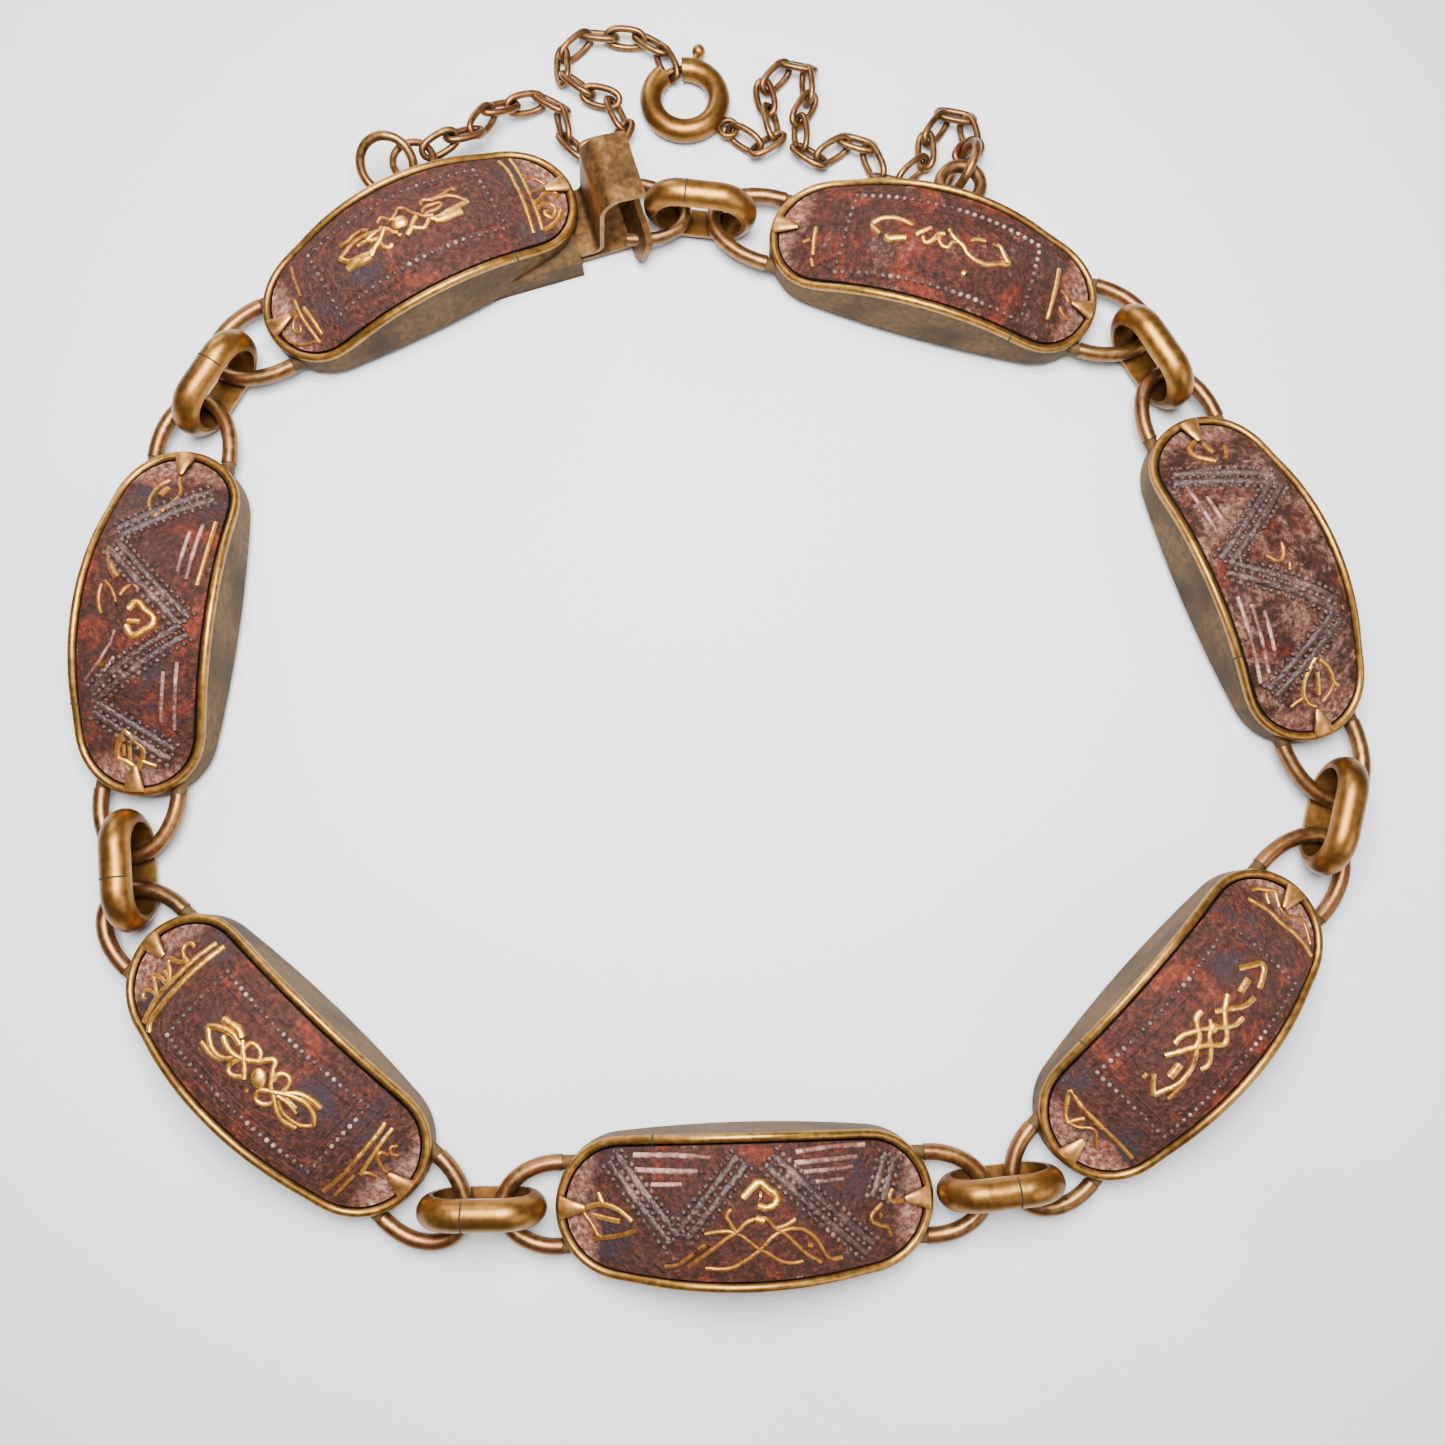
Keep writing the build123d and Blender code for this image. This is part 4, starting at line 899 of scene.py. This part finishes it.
class BRACELET_OT_rims(Operator):
    """Rounds the rim of each bezel with a rubbed lip"""

    bl_idname = "bracelet.rims"
    bl_label = "Rims"

    def execute(self, context):
        sizes = context.scene.bracelet_sizes
        for index in BEZELS:
            place = bezel_frame(index)
            line = []
            for x, y in oval_line(WALL / 2, 120):
                line.append(place @ (Vector((x, y, rim_level(x) - LIP_SUNK)) * MM))
            mesh = wire_mesh([(sizes.lip / MM, line)], smooth=False, closed=True)
            brass = bpy.data.materials["rubbed_brass"]
            keep_piece("rim_%d" % index, mesh, "bracelet", brass)
        return {"FINISHED"}


class BRACELET_OT_loops(Operator):
    """Draws the smooth copper-toned wire of the end loops and side eyes over their solids"""

    bl_idname = "bracelet.loops"
    bl_label = "End loops"

    def execute(self, context):
        radius = context.scene.bracelet_sizes.loop / MM
        brass = bpy.data.materials["wire_brass"]
        for index, row in BEZELS.items():
            place = bezel_frame(index)
            for side, share in (("head", row["head"]), ("tail", row["tail"])):
                if not share:
                    continue
                sign = 1 if side == "head" else -1
                line = [(HALF_LENGTH - LOOP_ROOT, LOOP_HALF)]
                for step in range(25):
                    turn = math.radians(90 - 180 * step / 24)
                    out = share * LOOP_REACH * math.cos(turn)
                    line.append((HALF_LENGTH - LOOP_SET_IN + out, LOOP_HALF * math.sin(turn)))
                line.append((HALF_LENGTH - LOOP_ROOT, -LOOP_HALF))
                points = [place @ (Vector((sign * x, sign * y, LOOP_LEVEL)) * MM) for x, y in line]
                mesh = wire_mesh([(radius, points)], smooth=False, sides=3)
                keep_piece("loop_%d_%s" % (index, side), mesh, "bracelet", brass)
        for index, (along, radius) in SIDE_EYES.items():
            place = bezel_frame(index)
            line = []
            for step in range(40):
                turn = 2 * math.pi * step / 40
                x = along + EYE_RADIUS * math.cos(turn)
                y = EYE_OUT + EYE_RADIUS * math.sin(turn)
                line.append(place @ (Vector((x, y, EYE_LEVEL)) * MM))
            mesh = wire_mesh([(radius, line)], smooth=False, closed=True, sides=3)
            keep_piece("eye_%d" % index, mesh, "bracelet", brass)
        return {"FINISHED"}


class BRACELET_OT_chains(Operator):
    """Draws each link of both chains as round wire where its faceted solid lies"""

    bl_idname = "bracelet.chains"
    bl_label = "Chains"

    def execute(self, context):
        radius = context.scene.bracelet_sizes.chain / MM
        brass = bpy.data.materials["wire_brass"]
        for name in ("chain_left", "chain_right"):
            runs = []
            parts = loose_parts(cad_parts[name].data)
            middles = [Vector(corners.mean(axis=0)) for corners in parts]
            for number, corners in enumerate(parts):
                middle = middles[number]
                _, axes = np.linalg.eigh(np.cov((corners - np.array(middle)).T))
                along = Vector(axes[:, 2])
                ahead = middles[min(number + 1, len(parts) - 1)] - middles[max(number - 1, 0)]
                if along.dot(ahead) < 0:
                    along = -along
                side = along.cross(Vector((0, 0, 1))).normalized()
                rise = side.cross(along)
                upright = abs(axes[2, 0]) < 0.5
                roll = LINK_ROLL + LINK_ROLLS[number % len(LINK_ROLLS)] + (90 if upright else 0)
                across = side * math.cos(math.radians(roll)) + rise * math.sin(math.radians(roll))
                line = []
                for step in range(28):
                    turn = 2 * math.pi * step / 28
                    x, y = (math.copysign(abs(part) ** LINK_FULLNESS, part)
                            for part in (math.cos(turn), math.sin(turn)))
                    line.append(middle + (along * x * LINK_HALF_LENGTH + across * y * LINK_HALF_WIDTH) * MM)
                runs.append((radius, line))
            mesh = wire_mesh(runs, smooth=False, closed=True)
            piece = keep_piece(name + "_links", mesh, "bracelet", brass)
            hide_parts(name)
        return {"FINISHED"}


class BRACELET_OT_jump_rings(Operator):
    """Draws the stout jump rings where their solids lie"""

    bl_idname = "bracelet.jump_rings"
    bl_label = "Jump rings"

    def execute(self, context):
        for name in ("jump_ring_left", "jump_ring_right"):
            corners = np.array([vertex.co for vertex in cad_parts[name].data.vertices])
            middle = corners.mean(axis=0)
            _, axes = np.linalg.eigh(np.cov((corners - middle).T))
            reach = np.linalg.norm((corners - middle) @ axes[:, 1:], axis=1)
            radius = (reach.max() + reach.min()) / 2
            line = []
            for step in range(48):
                turn = 2 * math.pi * step / 48
                spot = middle + radius * (math.cos(turn) * axes[:, 2] + math.sin(turn) * axes[:, 1])
                line.append(Vector(spot))
            mesh = wire_mesh([(JUMP_RADIUS, line)], smooth=False, closed=True, sides=3)
            brass = bpy.data.materials["wire_brass"]
            piece = keep_piece(name + "_wire", mesh, "bracelet", brass)
            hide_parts(name)
        return {"FINISHED"}


class BRACELET_OT_claws(Operator):
    """Folds a pointed claw from each end of each bezel over its plaque"""

    bl_idname = "bracelet.claws"
    bl_label = "Claws"

    def execute(self, context):
        for index in BEZELS:
            face = Surface("plaque_%d" % index, bezel_frame(index))
            bm = bmesh.new()
            for side in (1, -1):
                tip = face.spot(side * (HALF_LENGTH - CLAW_REACH), 0, CLAW_TIP_RISE)[0]
                root = (side * (HALF_LENGTH - WALL / 2), 0, rim_level(HALF_LENGTH) + CLAW_FOOT_RISE)
                foot = face.place @ (Vector(root) * MM)
                line = tip - foot
                turn = line.to_track_quat("Z", "Y").to_matrix().to_4x4()
                # The track's X lies across the slope, its Y through the metal
                place = Matrix.Translation((tip + foot) / 2) @ turn
                place = place @ Matrix.Diagonal((1.0, CLAW_THICKNESS, 1.0, 1.0))
                bmesh.ops.create_cone(bm, cap_ends=True, segments=20, radius1=CLAW_HALF_WIDTH * MM,
                                      radius2=CLAW_TIP * MM, depth=line.length, matrix=place)
            ends = [edge for edge in bm.edges if max(len(face.verts) for face in edge.link_faces) > 4]
            bmesh.ops.bevel(bm, geom=ends, offset=CLAW_ROUNDING * MM, affect="EDGES", segments=2,
                            profile=0.5, material=-1)
            mesh = bpy.data.meshes.new("claws")
            bm.to_mesh(mesh)
            bm.free()
            brass = bpy.data.materials["claw_brass"]
            keep_piece("claws_%d" % index, mesh, "bracelet", brass)
        return {"FINISHED"}


class BRACELET_OT_seams(Operator):
    """Cuts the dark joint lines in the rings and the notches in the rims"""

    bl_idname = "bracelet.seams"
    bl_label = "Seams"

    def execute(self, context):
        radius = context.scene.bracelet_sizes.seam / MM
        lip = context.scene.bracelet_sizes.lip / MM
        lines = []
        for number, along in RING_SEAMS.items():
            node = "connector_%d" % number
            corners = np.array([vertex.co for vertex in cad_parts[node].data.vertices])
            middle = (corners.max(axis=0) + corners.min(axis=0)) / 2
            _, axes = np.linalg.eigh(np.cov(((corners - middle)[:, :2]).T))
            turn = Matrix.Rotation(math.atan2(axes[1, 1], axes[0, 1]), 4, "Z")
            face = Surface(node, Matrix.Translation((middle[0], middle[1], 0)) @ turn)
            lines.append((radius, [face.spot(along, out / 10, 0)[0] for out in range(-8, 9, 2)]))
        for index, (along, side) in RIM_SEAMS.items():
            place = bezel_frame(index)
            outline = [(x, y) for x, y in oval_line(WALL / 2, 240) if y * side >= 0]
            x, y = min(outline, key=lambda point: abs(point[0] - along))
            ring = []
            for step in range(13):
                turn = 2 * math.pi * step / 12
                level = rim_level(x) - LIP_SUNK + lip * math.sin(turn)
                ring.append(place @ (Vector((x, y + lip * math.cos(turn), level)) * MM))
            lines.append((radius, ring))
        mesh = wire_mesh(lines, smooth=False)
        keep_piece("seams", mesh, "bracelet", bpy.data.materials["packed_dirt"])
        return {"FINISHED"}


def raise_boss(index, face, radius, points):
    """A low gold boss between two points of a plaque."""
    bm = bmesh.new()
    ends = [face.spot(along, out, 0)[0] for along, out in points]
    middle = (ends[0] + ends[1]) / 2
    stretch = 1 + (ends[1] - ends[0]).length / (2 * radius * MM)
    line = ends[1] - ends[0]
    place = Matrix.Translation(middle) @ Matrix.Rotation(math.atan2(line.y, line.x), 4, "Z")
    place = place @ Matrix.Diagonal((stretch, 1.0, BOSS_HEIGHT, 1.0))
    bmesh.ops.create_uvsphere(bm, u_segments=24, v_segments=14, radius=radius * MM, matrix=place)
    mesh = bpy.data.meshes.new("boss")
    bm.to_mesh(mesh)
    bm.free()
    keep_piece("boss_%d" % index, mesh, "bracelet", bpy.data.materials["gold_inlay"])


class BRACELET_OT_inlay(Operator):
    """Lays the gold wires and bosses on the plaques"""

    bl_idname = "bracelet.inlay"
    bl_label = "Gold inlay"

    def execute(self, context):
        for index in BEZELS:
            face = Surface("plaque_%d" % index, bezel_frame(index))
            for radius, points in BOSSES.get(index, []):
                raise_boss(index, face, radius, points)
            for kind, table in (("bright", BRIGHT_INLAY), ("worn", WORN_INLAY)):
                wires = []
                for radius, points in table.get(index, []):
                    line = [face.spot(along, out, -INLAY_SUNK * radius)[0] for along, out in points]
                    wires.append((INLAY_FULLNESS * radius, line))
                if wires:
                    gold = bpy.data.materials["gold_inlay" if kind == "bright" else "worn_gold"]
                    name = "inlay_%s_%d" % (kind, index)
                    keep_piece(name, wire_mesh(wires), "bracelet", gold)
        return {"FINISHED"}


def raise_beads(bm, face, start, end, spacing, radius):
    """A row of low beads on a plaque."""
    count = max(1, round(math.dist(start, end) / spacing))
    for step in range(count + 1):
        share = step / count
        along = start[0] + (end[0] - start[0]) * share
        out = start[1] + (end[1] - start[1]) * share
        spot, _ = face.spot(along, out, 0)
        place = Matrix.Translation(spot) @ Matrix.Diagonal((1.0, 1.0, BEAD_HEIGHT, 1.0))
        bmesh.ops.create_uvsphere(bm, u_segments=8, v_segments=6, radius=radius * MM, matrix=place)


class BRACELET_OT_relief(Operator):
    """Raises the steel fillets, chevron bands and rows of beads on the plaques"""

    bl_idname = "bracelet.relief"
    bl_label = "Steel relief"

    def execute(self, context):
        for index in BEZELS:
            face = Surface("plaque_%d" % index, bezel_frame(index))
            chevrons = CHEVRONS.get(index)
            steel = bpy.data.materials["ridge_steel" if chevrons else "rusted_steel_%d" % index]
            lines = []
            frames = [(FRAME_RADIUS, FRAME_SUNK, points) for points in FRAMES.get(index, [])]
            for radius, sunk, points in frames + BARS.get(index, []):
                line = divided(points, FILLET_STEP)
                lines.append((radius, [face.spot(along, out, -sunk * radius)[0] for along, out in line]))
            mesh = wire_mesh(lines, smooth=False)
            keep_piece("fillets_%d" % index, mesh, "bracelet", steel)
            bm = bmesh.new()
            for start, end, spacing, radius in BEADS.get(index, []):
                raise_beads(bm, face, start, end, spacing, radius)
            if chevrons:
                cords = []
                for start, end in chevrons:
                    length = math.dist(start, end)
                    aside = ((start[1] - end[1]) / length, (end[0] - start[0]) / length)
                    for side in (-0.5, 0.5):
                        shift = side * CORD_APART
                        pair = [(x + aside[0] * shift, y + aside[1] * shift) for x, y in (start, end)]
                        line = divided(pair, CORD_STEP)
                        sunk = -CORD_SUNK * CORD_RADIUS
                        cords.append((CORD_RADIUS, [face.spot(x, y, sunk)[0] for x, y in line]))
                        edge = CORD_BEADS_OUT * shift
                        row = [(x + aside[0] * edge, y + aside[1] * edge) for x, y in (start, end)]
                        raise_beads(bm, face, row[0], row[1], CORD_BEAD_STEP, CORD_BEAD)
                    raise_beads(bm, face, start, end, CORD_BEAD_STEP, CORD_BEAD)
                dark = bpy.data.materials["cord_steel"]
                mesh = wire_mesh(cords, smooth=False)
                keep_piece("cords_%d" % index, mesh, "bracelet", dark)
            mesh = bpy.data.meshes.new("beads")
            bm.to_mesh(mesh)
            bm.free()
            beads = bpy.data.materials["cord_steel" if chevrons else "bead_steel"]
            keep_piece("beads_%d" % index, mesh, "bracelet", beads)
        return {"FINISHED"}


class BRACELET_OT_stage(Operator):
    """Sets the pale floor, the soft light and the camera"""

    bl_idname = "bracelet.stage"
    bl_label = "Stage"

    def execute(self, context):
        # Matt painted board: pale, even and without a gleam
        material, _, shader = new_material("pale_board")
        shader.inputs["Base Color"].default_value = linear("#D6D8DA")
        shader.inputs["Roughness"].default_value = 0.85
        bm = bmesh.new()
        bmesh.ops.create_grid(bm, x_segments=1, y_segments=1, size=FLOOR_HALF)
        mesh = bpy.data.meshes.new("floor")
        bm.to_mesh(mesh)
        bm.free()
        floor = bpy.data.objects.new("floor", mesh)
        floor.data.materials.append(material)
        context.scene.collection.objects.link(floor)

        world = bpy.data.worlds.new("studio")
        world.use_nodes = True
        background = world.node_tree.nodes["Background"]
        background.inputs["Color"].default_value = linear("#E9E6E1")
        background.inputs["Strength"].default_value = ROOM_LIGHT
        context.scene.world = world
        for name, (spot, size, power) in LIGHTS.items():
            light = bpy.data.lights.new(name, "AREA")
            light.size = size
            light.energy = power
            lamp = bpy.data.objects.new(name, light)
            lamp.location = spot
            lamp.rotation_euler = (-Vector(spot)).to_track_quat("-Z", "Y").to_euler()
            lamp.visible_camera = False
            context.scene.collection.objects.link(lamp)

        turn = math.radians(CAMERA_TURN)
        tilt = math.radians(CAMERA_TILT)
        ahead = Vector((math.sin(turn), math.sin(tilt) * math.cos(turn), -math.cos(tilt) * math.cos(turn)))
        ahead.normalize()
        right = ahead.cross(Vector((0, 1, 0))).normalized()
        up = right.cross(ahead)
        lens = bpy.data.cameras.new("camera")
        lens.lens = CAMERA_LENS
        lens.sensor_width = CAMERA_SENSOR
        lens.clip_start = CAMERA_NEAR
        camera = bpy.data.objects.new("camera", lens)
        turned = Matrix((right, up, -ahead)).transposed().to_4x4()
        camera.matrix_world = Matrix.Translation(Vector(CAMERA_SPOT) * MM) @ turned
        context.scene.collection.objects.link(camera)
        context.scene.camera = camera
        return {"FINISHED"}


class BRACELET_PT_panel(Panel):
    """Lists the bracelet's finishes, sizes and pieces"""

    bl_label = "Bracelet"
    bl_idname = "BRACELET_PT_panel"
    bl_space_type = "VIEW_3D"
    bl_region_type = "UI"
    bl_category = "Bracelet"

    def draw(self, context):
        for group in (context.scene.bracelet_finishes, context.scene.bracelet_sizes):
            for name in group.bl_rna.properties.keys():
                if name not in ("rna_type", "name"):
                    self.layout.prop(group, name)
        for operator in OPERATORS:
            self.layout.operator(operator.bl_idname)


OPERATORS = (
    BRACELET_OT_metals,
    BRACELET_OT_rims,
    BRACELET_OT_loops,
    BRACELET_OT_chains,
    BRACELET_OT_jump_rings,
    BRACELET_OT_claws,
    BRACELET_OT_seams,
    BRACELET_OT_inlay,
    BRACELET_OT_relief,
    BRACELET_OT_stage,
)
CLASSES = (BraceletFinishes, BraceletSizes, *OPERATORS, BRACELET_PT_panel)


def register():
    """Adds the classes and their settings."""
    for kind in CLASSES:
        bpy.utils.register_class(kind)
    bpy.types.Scene.bracelet_finishes = PointerProperty(type=BraceletFinishes)
    bpy.types.Scene.bracelet_sizes = PointerProperty(type=BraceletSizes)


def unregister():
    """Takes the classes and their settings away."""
    del bpy.types.Scene.bracelet_sizes
    del bpy.types.Scene.bracelet_finishes
    for kind in reversed(CLASSES):
        bpy.utils.unregister_class(kind)


def main():
    """Dresses the bracelet and sets the stage."""
    register()
    bpy.ops.bracelet.metals()
    bpy.ops.bracelet.rims()
    bpy.ops.bracelet.loops()
    bpy.ops.bracelet.chains()
    bpy.ops.bracelet.jump_rings()
    bpy.ops.bracelet.claws()
    bpy.ops.bracelet.seams()
    bpy.ops.bracelet.inlay()
    bpy.ops.bracelet.relief()
    bpy.ops.bracelet.stage()


if __name__ == "__main__":
    main()
